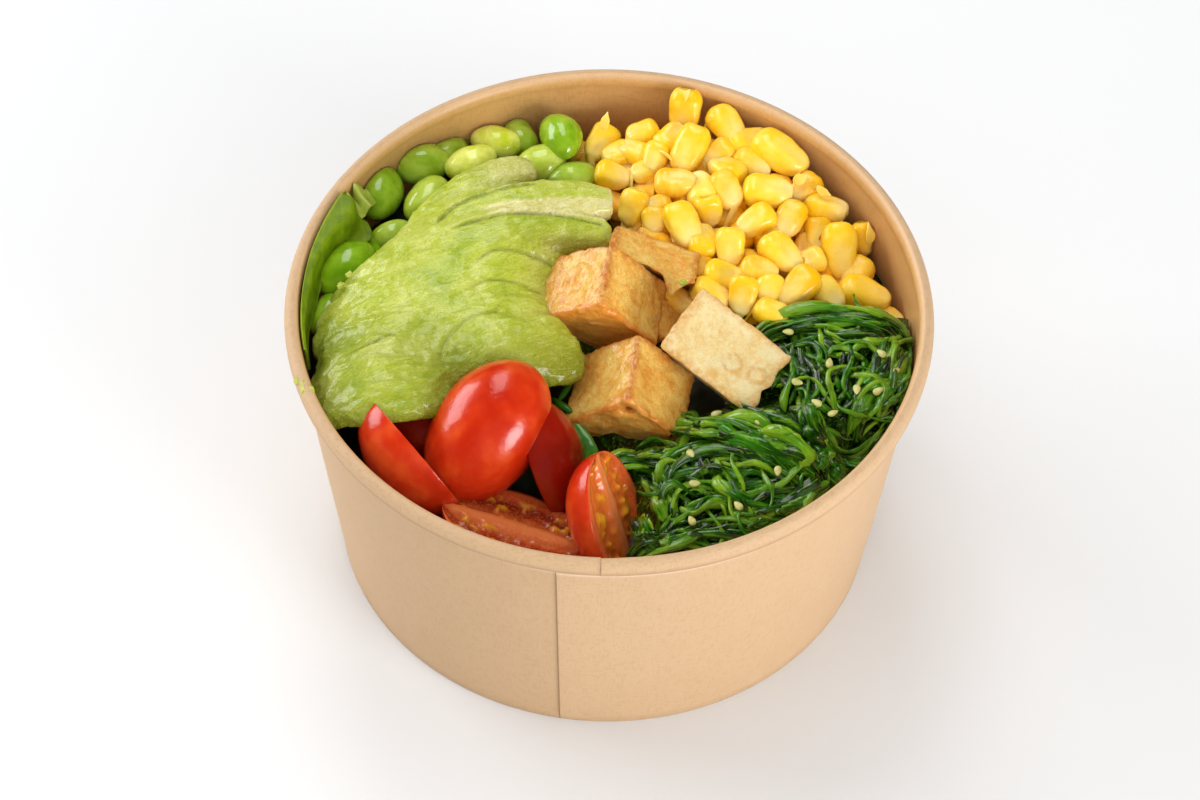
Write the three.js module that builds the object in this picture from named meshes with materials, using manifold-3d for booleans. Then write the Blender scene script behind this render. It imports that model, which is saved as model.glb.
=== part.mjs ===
// A poke bowl: a kraft paper bowl filled with sliced avocado, edamame beans, sweetcorn,
// fried tofu, cut cherry tomatoes and seaweed salad.
// Millimetres, +Z up. The origin is the centre of the bowl's foot, on the table.
import * as THREE from "three";
import { mergeVertices } from "three/addons/utils/BufferGeometryUtils.js";
import Module from "manifold-3d";

const wasm = await Module();
wasm.setup();

// ---------------------------------------------------------------- driving sizes

const clearance = 0.35; // kept between any two neighbouring pieces
const facetTolerance = 0.14; // how far a surface may move when small facets merge

const bowl = {
  rimRadius: 75,
  height: 76.4,
  footRadius: 64,
  paper: 0.6,
  rimWidth: 3.6,
  rimDepth: 5,
  floorHeight: 6.4, // top of the raised bottom disc
  turnSegments: 56,
};
bowl.rimCentre = bowl.rimRadius - bowl.rimWidth / 2;
bowl.neckHeight = bowl.height - bowl.rimDepth;
bowl.neckRadius = bowl.rimCentre - bowl.rimWidth * 0.25;

// The cone of the paper wall, outside and inside.
const wallOutside = (z) =>
  THREE.MathUtils.mapLinear(z, 0, bowl.neckHeight, bowl.footRadius, bowl.neckRadius);
const wallInside = (z) => wallOutside(z) - bowl.paper;

// ---------------------------------------------------------------- solids and meshes

// A closed geometry as a solid that can be joined and cut.
function solidOf(geometry) {
  const bare = geometry.clone();
  bare.deleteAttribute("normal");
  bare.deleteAttribute("uv");
  const merged = mergeVertices(bare, 1e-4);
  return new wasm.Manifold(
    new wasm.Mesh({
      numProp: 3,
      vertProperties: merged.attributes.position.array,
      triVerts: new Uint32Array(merged.index.array),
    }),
  );
}

function geometryOf(solid) {
  const { vertProperties, triVerts } = solid.getMesh();
  const geometry = new THREE.BufferGeometry();
  geometry.setAttribute("position", new THREE.BufferAttribute(vertProperties, 3));
  geometry.setIndex(new THREE.BufferAttribute(triVerts, 1));
  return geometry;
}

// Where a piece lies: its centre, and its heading, tilt and roll in degrees.
function matrixOf({ at, turn = [0, 0, 0] }) {
  const [heading, tilt, roll] = turn.map((angle) => THREE.MathUtils.degToRad(angle));
  const rotation = new THREE.Euler(roll, tilt, heading, "ZYX");
  return new THREE.Matrix4().makeRotationFromEuler(rotation).setPosition(...at);
}

// Small facets merge, scraps that a cut leaves loose are dropped and sealed hollows filled.
function mainBody(solid) {
  const bodies = solid.simplify(facetTolerance).decompose();
  return bodies.reduce((a, b) => (b.volume() > a.volume() ? b : a));
}

function meshOf(name, solid, place, look) {
  const local = matrixOf(place).invert();
  const geometry = geometryOf(solid).applyMatrix4(local);
  geometry.computeVertexNormals();
  const mesh = new THREE.Mesh(geometry, new THREE.MeshStandardMaterial({ metalness: 0, ...look }));
  mesh.name = name;
  mesh.position.setFromMatrixPosition(matrixOf(place));
  mesh.rotation.setFromRotationMatrix(matrixOf(place), "ZYX");
  return mesh;
}

// Moves each vertex of a geometry by a function from old to new position.
function reshape(geometry, move) {
  const positions = geometry.attributes.position;
  const point = new THREE.Vector3();
  for (let i = 0; i < positions.count; i++) {
    point.fromBufferAttribute(positions, i);
    const next = move(point);
    positions.setXYZ(i, next.x, next.y, next.z);
  }
  return geometry;
}

// A closed plate between an upper and a lower sheet, both split into triangles alike.
function plate(across, along, upper, lower) {
  const row = along + 1;
  const sheet = (across + 1) * row;
  const positions = [];
  const triangles = [];
  for (const surface of [upper, lower])
    for (let i = 0; i <= across; i++)
      for (let j = 0; j <= along; j++) positions.push(...surface(i / across, j / along));
  const quad = (a, b, c, d) => triangles.push(a, b, c, a, c, d);
  for (let i = 0; i < across; i++)
    for (let j = 0; j < along; j++) {
      const k = i * row + j;
      quad(k, k + row, k + row + 1, k + 1);
      triangles.push(sheet + k, sheet + k + row + 1, sheet + k + row);
      triangles.push(sheet + k, sheet + k + 1, sheet + k + row + 1);
    }
  for (let i = 0; i < across; i++) {
    const near = i * row;
    const far = near + along;
    quad(near, sheet + near, sheet + near + row, near + row);
    quad(far + row, sheet + far + row, sheet + far, far);
  }
  for (let j = 0; j < along; j++) {
    const end = across * row + j;
    quad(j + 1, sheet + j + 1, sheet + j, j);
    quad(end, sheet + end, sheet + end + 1, end + 1);
  }
  const geometry = new THREE.BufferGeometry();
  geometry.setAttribute("position", new THREE.Float32BufferAttribute(positions, 3));
  geometry.setIndex(triangles);
  return geometry;
}

// A repeatable stream of numbers from 0 to 1.
function seeded(seed) {
  let state = seed;
  return () => {
    state = (Math.imul(state, 1664525) + 1013904223) >>> 0;
    return state / 4294967296;
  };
}

// ---------------------------------------------------------------- bowl

function turned(profile) {
  const points = profile.map(([radius, height]) => new THREE.Vector2(radius, height));
  return new THREE.LatheGeometry(points, bowl.turnSegments).rotateX(Math.PI / 2);
}

function bowlGeometry() {
  const floorUnder = bowl.floorHeight - bowl.paper;
  const skirt = bowl.footRadius - 2 * bowl.paper;
  const rolledRim = [-75, 0, 50, 90, 130, 190].map((degrees) => {
    const angle = THREE.MathUtils.degToRad(degrees);
    return [
      bowl.rimCentre + (bowl.rimWidth / 2) * Math.cos(angle),
      bowl.height - (bowl.rimDepth / 2) * (1 - Math.sin(angle)),
    ];
  });
  return turned([
    [0, floorUnder],
    [skirt, floorUnder],
    [skirt, 0],
    [bowl.footRadius, 0],
    [wallOutside(bowl.neckHeight), bowl.neckHeight],
    ...rolledRim,
    [wallInside(bowl.neckHeight), bowl.neckHeight],
    [wallInside(bowl.floorHeight), bowl.floorHeight],
    [0, bowl.floorHeight],
  ]);
}

// The room inside the bowl and above it that the food may take.
function roomGeometry() {
  const bottom = bowl.floorHeight + clearance;
  const mouth = bowl.rimRadius - bowl.rimWidth - clearance;
  return turned([
    [0, bottom],
    [wallInside(bottom) - clearance, bottom],
    [Math.min(wallInside(bowl.neckHeight) - clearance, mouth), bowl.neckHeight],
    [mouth, bowl.height],
    [mouth, bowl.height + 40],
    [0, bowl.height + 40],
  ]);
}

// ---------------------------------------------------------------- food shapes
// Each takes `grow`, the clearance to add all round when the piece cuts its neighbours.
// Local X is the length, Y the width and Z the thickness.

// A unit ball with its poles on the X axis.
const ball = (around, along) => new THREE.SphereGeometry(1, around, along).rotateZ(-Math.PI / 2);

// A rounded body: a bean, a stem or a whole tomato.
function pebble({ size, bend = 0, facets = [9, 6] }, grow = 0) {
  const [length, width, height] = size.map((extent) => extent / 2 + grow);
  return reshape(ball(...facets), (n) => ({
    x: length * n.x,
    y: width * n.y + bend * (n.x * n.x - 0.3),
    z: height * n.z,
  }));
}

// A fried cube: rounded edges, sides sunk in, and marks where it is torn or dented.
function friedCube({ size, edge = 1.6, sunk = 0.7, marks = [] }, grow = 0) {
  const half = size.map((extent) => extent / 2 + grow);
  const sides = 4;
  return reshape(new THREE.BoxGeometry(2, 2, 2, sides, sides, sides), (p) => {
    const unit = p.toArray().map((value) => Math.sign(value) * Math.abs(value) ** 0.4);
    const point = unit.map((value, axis) => {
      const [second, third] = [unit[(axis + 1) % 3], unit[(axis + 2) % 3]];
      const hollow = Math.abs(value) > 0.999 ? sunk * (1 - second ** 2) * (1 - third ** 2) : 0;
      return value * (half[axis] - hollow);
    });
    const core = point.map((value, axis) =>
      THREE.MathUtils.clamp(value, edge - half[axis], half[axis] - edge),
    );
    const out = new THREE.Vector3(...point.map((value, axis) => value - core[axis]));
    const rounded = new THREE.Vector3(...core).add(out.clone().setLength(Math.min(out.length(), edge)));
    for (const { at, reach, push } of marks) {
      const centre = new THREE.Vector3(...at.map((value, axis) => value * half[axis]));
      const near = Math.exp(-((rounded.distanceTo(centre) / reach) ** 2));
      rounded.addScaledVector(centre.normalize(), push * near);
    }
    return rounded;
  });
}

// A slice that follows a bent line over three points, thickest in the middle.
function slice({ at, over, to, width, depth, lean = 0, blunt = 0.6 }, grow = 0) {
  const line = new THREE.QuadraticBezierCurve3(
    new THREE.Vector3(0, 0, 0),
    new THREE.Vector3(...over).sub(new THREE.Vector3(...at)),
    new THREE.Vector3(...to).sub(new THREE.Vector3(...at)),
  );
  return reshape(ball(8, 8), (n) => {
    const t = THREE.MathUtils.clamp((n.x + 1) / 2, 0, 1);
    const forward = line.getTangent(t);
    const side = new THREE.Vector3(0, 0, 1).cross(forward).normalize();
    const up = forward.clone().cross(side);
    side.applyAxisAngle(forward, THREE.MathUtils.degToRad(lean));
    up.applyAxisAngle(forward, THREE.MathUtils.degToRad(lean));
    const ring = Math.max(Math.hypot(n.y, n.z), 1e-6);
    const fullness = ring < 1e-4 ? 0 : ring ** blunt / ring;
    const wide = THREE.MathUtils.lerp(width[0], width[1], t) / 2 + grow;
    return line
      .getPoint(t)
      .addScaledVector(forward, n.x * grow)
      .addScaledVector(side, n.y * fullness * wide)
      .addScaledVector(up, n.z * fullness * (depth / 2 + grow));
  });
}

// A tomato piece: the part of a rounded body on the skin side (+Z) of two cuts that meet
// on its long axis. `opening` is the angle between them, 180 degrees for a plain half.
function tomatoPiece({ size, opening = 180, sill = 0 }, grow = 0) {
  const whole = solidOf(pebble({ size, facets: [11, 8] }, grow));
  const reach = 2 * Math.max(...size);
  const keep = [1, -1].map((sign) => {
    const knife = new THREE.BoxGeometry(reach, reach, reach);
    knife.translate(0, 0, reach / 2 - sill - grow);
    knife.rotateX(THREE.MathUtils.degToRad((sign * (180 - opening)) / 2));
    return solidOf(knife);
  });
  return geometryOf(whole.intersect(keep[0]).intersect(keep[1]));
}

// ---------------------------------------------------------------- placed food

const looks = {
  paper: { color: 0xc89f70, roughness: 0.85 },
  avocado: { color: 0xa9bf4c, roughness: 0.5 },
  bean: { color: 0x6fa51c, roughness: 0.3 },
  paleBean: { color: 0x9dbb45, roughness: 0.3 },
  tofu: { color: 0xcf9250, roughness: 0.6 },
  paleTofu: { color: 0xe6bf86, roughness: 0.6 },
  tomato: { color: 0xcc2f1a, roughness: 0.25 },
  corn: { color: 0xf0bf33, roughness: 0.35 },
  seaweed: { color: 0x1f5a22, roughness: 0.3 },
  leaf: { color: 0x4d8a2b, roughness: 0.5 },
  greens: { color: 0x1d3315, roughness: 0.8 },
};

// Of each cube the corner (+1, +1, +1) is the one turned up and outward.
const tofu = [
  { at: [-1.9, 7, 68.7], turn: [-98, 13, 37], size: [16, 19.4, 21] },
  { at: [25.6, -8, 67.2], turn: [65, 165, -127], size: [20.2, 11.5, 26.4], look: looks.paleTofu },
  {
    at: [5.2, -15.7, 61.5],
    turn: [-97, 8, 42],
    size: [18.2, 19.4, 19],
    marks: [{ at: [0.9, 0.95, 1], reach: 4, push: -3 }],
  },
  {
    at: [8.5, 16.7, 68],
    turn: [-11, -166, -167],
    size: [21.5, 13, 13],
    marks: [{ at: [-0.2, -1, 1], reach: 2.5, push: 2.5 }],
  },
  { at: [14, 8, 61], turn: [20, 10, 30], size: [11, 10, 10] },
];

const tomatoes = [
  { at: [-27, -31.5, 68], turn: [49, -34, 17], size: [36, 25, 25], sill: 4 },
  { at: [-42.8, -36.7, 66], turn: [-38, 33, 100], size: [31, 22, 22], opening: 100 },
  { at: [1.9, -52.2, 63.2], turn: [-59, 52, 150], size: [31, 21, 20] },
  { at: [-14.8, -34, 62], turn: [-63, 44, -58], size: [29, 20, 20] },
  { at: [-20.1, -52, 60], turn: [-13, 10, 169], size: [34, 22, 18] },
  { at: [-41.6, -25.4, 60], turn: [-7, 5, 28], size: [25, 18, 18] },
];

// Front slices first: each lies over the one behind it.
const avocado = [
  { at: [-68, -19, 64], over: [-52, -22, 82], to: [-33, -18, 67], width: [32, 24], depth: 10 },
  { at: [-46, -20, 65], over: [-26, -1, 82], to: [-7, -14, 66], width: [20, 20], depth: 9 },
  { at: [-65, -12, 66], over: [-40, 10, 82], to: [-10, 2, 64], width: [20, 15], depth: 9 },
  { at: [-62, -6, 66], over: [-39, 16, 82], to: [-9, 12, 66], width: [18, 13], depth: 9 },
  { at: [-59, -2, 66], over: [-40, 23, 81], to: [0, 23, 72], width: [18, 13], depth: 9 },
  { at: [-56, 1, 66], over: [-40, 30, 80], to: [0, 33.5, 73], width: [17, 12], depth: 8, blunt: 0.4 },
  { at: [-51, 5, 66], over: [-41, 35, 77], to: [-19, 45, 71], width: [16, 10], depth: 8 },
];

const beanSize = [13.5, 9.6, 8.6];
const beans = [
  { at: [-54.8, 42.6, 65], turn: [92, 0, 10], scale: 1.12 },
  { at: [-46.8, 52.2, 65], turn: [-5, 0, 0], scale: 1.16 },
  { at: [-41, 56.3, 63], turn: [25, 0, 0] },
  { at: [-43.8, 39.4, 66], turn: [57, 0, 0], scale: 1.08, look: looks.paleBean },
  { at: [-34, 51.3, 66], turn: [25, 0, 0], look: looks.paleBean },
  { at: [-28.4, 60.1, 64], turn: [-13, 0, 0], look: looks.paleBean, scale: 0.95 },
  { at: [-22.7, 63.1, 63], turn: [-66, 0, 0], scale: 0.85 },
  { at: [-17.3, 53.1, 65], turn: [25, 0, 0], look: looks.paleBean },
  { at: [-12.7, 58.9, 68], turn: [108, 10, 0], scale: 1.05 },
  { at: [-9.8, 49.4, 64], turn: [13, 0, 0], scale: 0.9 },
  { at: [-51.8, 28, 66], turn: [27, 0, 0], scale: 0.8 },
  { at: [-61, 16.8, 67], turn: [49, 0, 0], scale: 1.15 },
  { at: [-58.5, 25.3, 64], turn: [-57, 0, 0] },
  { at: [-64.8, 5.1, 66], turn: [66, 0, 0], scale: 0.9 },
];

const stems = [
  { at: [-9.5, -14, 62], turn: [63, 0, 0], size: [9, 1.6, 1.6], facets: [6, 4] },
  { at: [-10, -19, 62], turn: [-40, 0, 0], size: [8, 1.8, 1.6], facets: [6, 4] },
  { at: [-4.5, -29, 62], turn: [-63, 8, 0], size: [15, 3.2, 2.2], facets: [6, 4] },
];

// The large leaf stands against the wall on the left and folds inward over the beans.
function wallLeaf({ angles, width, top, fall, thickness }, grow = 0) {
  const outer = bowl.rimRadius - bowl.rimWidth - clearance;
  const sheet = (offset) => (u, v) => {
    const angle = THREE.MathUtils.degToRad(THREE.MathUtils.lerp(angles[0], angles[1], u));
    const reach = THREE.MathUtils.lerp(width[0], width[1], u ** 0.8);
    const radius = outer - reach * v;
    const wave = 0.7 * Math.sin(7 * u + 2 * v) * v;
    return [
      radius * Math.cos(angle),
      radius * Math.sin(angle),
      top - fall * Math.sin((v * Math.PI) / 2) - 1.5 * u + wave + offset,
    ];
  };
  return plate(8, 2, sheet(thickness / 2 + grow), sheet(-thickness / 2 - grow));
}

const leaves = [
  { name: "leaf_at_wall", angles: [154, 191], width: [10, 1.5], top: 77, fall: 5, thickness: 0.7 },
  { name: "leaf_tip", angles: [147, 153], width: [6, 3], top: 75, fall: 3, thickness: 0.7 },
];

// ---------------------------------------------------------------- heaps

// A heap's core: a plate from a level floor up to a surface z(x, y). It grows more upward
// than sideways, because its steep edges would gain too little otherwise.
function mound({ x, y, floor, cells }, surface, grow = 0) {
  const place = (u, v, margin) => [
    THREE.MathUtils.lerp(x[0] - margin, x[1] + margin, u),
    THREE.MathUtils.lerp(y[0] - margin, y[1] + margin, v),
  ];
  const upper = (u, v) => {
    const height = Math.max(surface(...place(u, v, 0)), floor + 1);
    return [...place(u, v, grow), height + 1.6 * grow];
  };
  const lower = (u, v) => [...place(u, v, grow), floor - grow];
  return plate(cells, cells, upper, lower);
}

const corn = {
  bounds: { x: [-18, 74], y: [3, 74], floor: 54, cells: 6 },
  spacing: 8.4,
  // Kernels that stand out: x, y, lift above the surface, heading, tilt, roll and length.
  landmarks: [
    [17, 65, 1, 95, -60, 0, 9.5],
    [27, 61, 0.5, 125, -10, 10, 10.5],
    [40, 53, 0.8, 145, -5, 10, 14.5],
    [18, 53, 1, 65, -25, 0, 12],
    [7, 60, 0, 15, -10, 0, 8],
    [-3, 60, 0.5, 60, -15, 20, 9.5],
    [1, 55, 0.3, 25, 0, 0, 7.5],
    [10, 52, -0.5, 75, -10, 0, 8],
    [25, 53, -0.8, 35, -10, 0, 8],
    [33, 50, -1, 145, -10, 0, 9],
    [0, 49, 0.3, 165, -10, 0, 8.5],
    [46, 45, 0.3, 45, -20, 0, 8],
    [15, 43, 0.5, 175, 10, 0, 10],
    [27, 41, 0.8, 115, -10, 0, 10],
    [37, 41, 0.5, 175, 0, 0, 12],
    [51, 40, 0.8, 165, 0, 20, 10],
    [5, 38, 0.5, 65, -50, 0, 9],
    [23, 36, -0.5, 115, -60, 0, 7.5],
    [60, 34, 0.5, 100, -50, 60, 8],
    [42, 34, 0.5, 65, -15, 0, 9.5],
    [34, 32, 0.5, 35, -10, 0, 9.5],
    [17, 30, 0.8, 115, -10, 0, 12],
    [54, 28, 1, 95, -35, 0, 13],
    [28, 24, 0.8, 90, -40, 0, 9.5],
    [58, 23, -0.3, 65, -10, 0, 9.5],
    [47, 24, -0.5, 25, 0, 0, 7],
    [40, 23, 0.8, 135, -10, 10, 11],
    [35, 18, -0.3, 160, 0, 0, 9],
    [27, 16, -0.8, 165, -10, 0, 10.5],
    [60, 17, 0.8, 160, -5, 0, 12.5],
    [51, 15, -0.5, 125, -10, 0, 9],
    [44, 14, 0.8, 50, -10, 0, 11.5],
    [31, 10, 0.8, 80, -45, 0, 9],
    [65, 12, 0, 155, 0, 0, 8.5],
  ],
};

function cornSurface(x, y) {
  const fromLeft = Math.max(0, 12 - x) * 0.4;
  const toRight = Math.max(0, x - 38) * 0.34;
  return 70 + 0.05 * (y - 45) - fromLeft - toRight;
}

// How far a point lies inside the corn's edge against the avocado, tofu and seaweed.
function cornDepth(x, y) {
  const diagonal = (x + 16.5) * 0.82 + (y - 62) * 0.57;
  return Math.min(diagonal, y - 5);
}

// Landmarks first, then staggered rows of lower kernels, a little out of line, between them.
function cornKernels() {
  const random = seeded(11);
  const { x, y } = corn.bounds;
  const { spacing } = corn;
  const kernels = [...corn.landmarks];
  const rows = Math.floor((y[1] - y[0]) / (0.87 * spacing));
  const columns = Math.floor((x[1] - x[0]) / spacing);
  for (let row = 0; row < rows; row++)
    for (let column = 0; column < columns; column++) {
      const px = x[0] + spacing * (column + (row % 2) / 2 + 0.5 * random());
      const py = y[0] + 0.87 * spacing * (row + 0.5 * random());
      const lift = 1.4 * random() - 1.4;
      const turn = [360 * random(), 40 * random() - 25, 50 * random() - 25];
      const length = 8.5 + 2.5 * random();
      const inside = Math.hypot(px, py) < 66 && cornDepth(px, py) > 2;
      const apart = kernels.every(([kx, ky]) => Math.hypot(kx - px, ky - py) > 0.66 * spacing);
      if (inside && apart) kernels.push([px, py, lift, ...turn, length]);
    }
  return kernels.map(([px, py, lift, heading, tilt, roll, length]) => ({
    at: [px, py, cornSurface(px, py) + lift],
    turn: [heading, tilt, roll],
    size: [length, 3.6 + 0.42 * length, 4 + 0.32 * length],
  }));
}

// The flat faces of so coarse a body lie nearer its middle than its corners do, so the
// corners move out by more than `grow`.
function kernelGeometry({ size }, grow) {
  const [length, width, height] = size.map((extent) => 0.6 * extent + 1.4 * grow);
  return reshape(new THREE.IcosahedronGeometry(1, 0), (n) => {
    const crown = 0.88 + 0.1 * n.x;
    return { x: length * n.x, y: width * n.y * crown, z: height * n.z * crown };
  });
}

function cornHeap(grow = 0) {
  const top = (x, y) => {
    const slope = THREE.MathUtils.smoothstep(cornDepth(x, y), -4, 4);
    const alongWall = Math.max(0, Math.hypot(x, y) - 62) * 0.4;
    return cornSurface(x, y) - 1.4 - alongWall - 14 * (1 - slope);
  };
  const core = mound(corn.bounds, top, grow);
  const kernels = cornKernels().map((kernel) =>
    solidOf(kernelGeometry(kernel, grow).applyMatrix4(matrixOf(kernel))),
  );
  return wasm.Manifold.union([solidOf(core), ...kernels]);
}

const seaweed = {
  bounds: { x: [-8, 74], y: [-70, 8], floor: 54, cells: 6 },
  strandRadius: 1.3,
  // The locks that the strands run in, each a line across the heap.
  locks: [
    [[33, 3], [42, 5.5], [51, 6.5], [60, 6], [70, 3]],
    [[51, 3], [50, -3], [56, -6], [62, -3]],
    [[69, -1], [64, -12], [59, -20], [53, -26]],
    [[44, -14], [45, -26], [53, -34], [64, -27]],
    [[17, -22], [26, -24], [36, -28], [47, -38]],
    [[12, -45], [17, -38], [27, -34], [37, -36], [48, -41]],
    [[14, -48], [22, -44], [32, -46], [40, -43]],
    [[26, -55], [34, -50], [44, -46], [53, -42]],
    [[11, -60], [18, -57], [28, -55], [40, -52]],
    [[-2, -35], [6, -33], [14, -30], [22, -27]],
    [[34, 0], [40, -7], [44, -14], [52, -18]],
  ],
  seeds: [
    [51, -7], [64, -5], [63, -15], [47, -16], [51, -20], [57, -15], [25, -22],
    [39, -38], [19, -41], [18, -50], [42, 0], [44, -11],
  ],
};

function seaweedSurface(x, y) {
  const toFront = Math.max(0, -y - 25) * 0.15;
  const towardWall = Math.max(0, Math.hypot(x, y) - 60) * 0.2;
  const darkGap = 7 * Math.exp(-(((x - 56) / 7) ** 2) - ((y + 31) / 5) ** 2);
  const underTofu = 11 * Math.exp(-(((x - 10) / 20) ** 2) - ((y + 8) / 20) ** 2);
  return 69 - toFront - towardWall - darkGap - underTofu;
}

// How far a point lies inside the seaweed's edge against the tomatoes.
const seaweedDepth = (x, y) => (x + 3) * 0.92 + (y + 34) * 0.4;

// The strands of one lock run side by side, wave a little and dive in at both ends.
function strandLines(lock, count, random) {
  const path = new THREE.CatmullRomCurve3(lock.map(([x, y]) => new THREE.Vector3(x, y, 0)));
  const spans = 5;
  return Array.from({ length: count }, (_, k) => {
    const drift = 3.4 * (k - (count - 1) / 2);
    const phase = 6.28 * random();
    const lift = 0.8 * random() - 0.4;
    const points = path.getPoints(spans).map((point, i) => {
      const along = path.getTangent(i / spans);
      const sideways = drift + 1.3 * Math.sin(phase + i * 0.9);
      const x = point.x - along.y * sideways;
      const y = point.y + along.x * sideways;
      const held = Math.min(1, 68 / Math.hypot(x, y));
      const dive = i === 0 || i === spans ? 3.5 : 0;
      return new THREE.Vector3(x * held, y * held, seaweedSurface(x, y) + lift - dive);
    });
    return new THREE.CatmullRomCurve3(points);
  });
}

function strandGeometry(line, grow) {
  const radius = seaweed.strandRadius + 2 * grow;
  const corners = [0, 120, 240].map((degrees) => {
    const angle = THREE.MathUtils.degToRad(degrees);
    return new THREE.Vector2(radius * Math.cos(angle), radius * Math.sin(angle));
  });
  const section = new THREE.Shape(corners);
  return new THREE.ExtrudeGeometry(section, { steps: 5, bevelEnabled: false, extrudePath: line });
}

function seaweedHeap(grow = 0) {
  const random = seeded(5);
  const top = (x, y) => {
    const slope = THREE.MathUtils.smoothstep(seaweedDepth(x, y), 0, 8);
    return seaweedSurface(x, y) - 2.6 - 14 * (1 - slope);
  };
  const core = mound(seaweed.bounds, top, grow);
  const strands = seaweed.locks
    .flatMap((lock, index) => strandLines(lock, 1 + (index % 2), random))
    .map((line) => solidOf(strandGeometry(line, grow)));
  const seeds = seaweed.seeds.map(([x, y]) => {
    const seed = new THREE.OctahedronGeometry(1, 0).scale(1.7 + grow, 1.2 + grow, 1.2 + grow);
    seed.rotateZ(6.28 * random());
    return solidOf(seed.translate(x, y, seaweedSurface(x, y) - 2.2));
  });
  return wasm.Manifold.union([solidOf(core), ...strands, ...seeds]);
}

// The salad that everything lies on; only its top shows, in the gaps.
function greensBed() {
  const bounds = { x: [-72, 72], y: [-72, 72], floor: bowl.floorHeight - 1, cells: 6 };
  return mound(bounds, (x, y) => {
    const underAvocado = 8 * Math.exp(-(((x + 32) / 24) ** 2) - (y / 17) ** 2);
    return 56 + underAvocado + 0.8 * Math.sin(0.31 * x) * Math.cos(0.27 * y);
  });
}

// ---------------------------------------------------------------- assembly

const numbered = (name, list, shape, look) =>
  list.map((piece, index) => ({
    name: `${name}_${index + 1}`,
    place: { at: piece.at, turn: piece.turn },
    look: piece.look ?? look,
    solid: (grow) => solidOf(shape(piece, grow).applyMatrix4(matrixOf(piece))),
  }));

const bean = ({ scale = 1 }, grow) =>
  pebble({ size: beanSize.map((extent) => extent * scale), bend: 0.8 }, grow);

const inPlace = { at: [0, 0, 0] };
const pieces = [
  ...numbered("tofu_cube", tofu, friedCube, looks.tofu),
  ...numbered("tomato_piece", tomatoes, tomatoPiece, looks.tomato),
  ...numbered("avocado_slice", avocado, slice, looks.avocado),
  ...numbered("edamame_bean", beans, bean, looks.bean),
  ...numbered("green_stem", stems, pebble, looks.leaf),
  ...leaves.map((leaf) => ({
    name: leaf.name,
    place: inPlace,
    look: looks.leaf,
    solid: (grow) => solidOf(wallLeaf(leaf, grow)),
  })),
  { name: "sweetcorn", place: inPlace, look: looks.corn, solid: cornHeap },
  { name: "seaweed_salad", place: inPlace, look: looks.seaweed, solid: seaweedHeap },
  { name: "salad_bed", place: inPlace, look: looks.greens, solid: () => solidOf(greensBed()) },
];

const group = new THREE.Group();
group.name = "poke_bowl";
group.add(meshOf("paper_bowl", solidOf(bowlGeometry()), inPlace, looks.paper));

// Pieces are fitted in order, each cut back where an earlier one already lies.
const room = solidOf(roomGeometry());
let taken = null;
for (const piece of pieces) {
  const whole = piece.solid(0).intersect(room);
  const fitted = taken ? whole.subtract(taken) : whole;
  group.add(meshOf(piece.name, mainBody(fitted), piece.place, piece.look));
  const claimed = piece.solid(clearance);
  taken = taken ? taken.add(claimed) : claimed;
}

export default group;
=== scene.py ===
import math

import bpy
import numpy as np
from mathutils import Matrix, Vector, kdtree


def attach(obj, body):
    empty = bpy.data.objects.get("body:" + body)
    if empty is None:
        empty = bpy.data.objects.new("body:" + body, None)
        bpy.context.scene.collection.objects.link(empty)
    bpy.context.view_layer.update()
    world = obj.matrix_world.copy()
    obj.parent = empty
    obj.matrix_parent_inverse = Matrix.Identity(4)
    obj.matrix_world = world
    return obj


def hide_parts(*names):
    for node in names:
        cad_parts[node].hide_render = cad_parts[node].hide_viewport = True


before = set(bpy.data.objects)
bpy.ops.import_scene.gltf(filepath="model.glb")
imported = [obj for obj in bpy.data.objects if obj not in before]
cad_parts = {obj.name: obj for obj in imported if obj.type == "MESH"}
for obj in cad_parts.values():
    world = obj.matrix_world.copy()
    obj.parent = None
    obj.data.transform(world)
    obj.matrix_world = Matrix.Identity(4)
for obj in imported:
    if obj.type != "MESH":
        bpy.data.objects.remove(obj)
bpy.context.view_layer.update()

MM = 0.001
UP = np.array([0.0, 0.0, 1.0])

RIM_RADIUS, RIM_WIDTH, RIM_DEPTH = 75.0, 3.6, 5.0
HEIGHT, FLOOR_HEIGHT = 76.4, 6.4
FOOT_RADIUS, PAPER = 64.0, 0.6
RIM_CENTRE = RIM_RADIUS - RIM_WIDTH / 2
NECK_HEIGHT = HEIGHT - RIM_DEPTH
NECK_RADIUS = RIM_CENTRE - RIM_WIDTH * 0.25
MOUTH = RIM_RADIUS - RIM_WIDTH


# ---------------------------------------------------------------- numbers


def seeded(seed):
    """A repeatable stream of numbers from 0 to 1, the same one that the CAD model draws from."""
    state = seed
    while True:
        state = (state * 1664525 + 1013904223) % 4294967296
        yield state / 4294967296


def lerp(a, b, t):
    return a + (b - a) * t


def smoothstep(value, low, high):
    t = np.clip((np.asarray(value, float) - low) / (high - low), 0, 1)
    return t * t * (3 - 2 * t)


def bell(away, width):
    """1 at its middle, falling to 0 on both sides."""
    return np.exp(-((away / width) ** 2))


def unit(vectors, least=0.0):
    return vectors / np.maximum(np.linalg.norm(vectors, axis=1, keepdims=True), least)


def crossed(a, b):
    """Every pair of a value of `a` and a value of `b`, as two flat arrays."""
    return (part.ravel() for part in np.meshgrid(a, b, indexing="ij"))


def full_turn(count):
    return np.linspace(0, 2 * np.pi, count, endpoint=False)


def polar(radius, angle, height):
    return np.column_stack([radius * np.cos(angle), radius * np.sin(angle), height])


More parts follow.
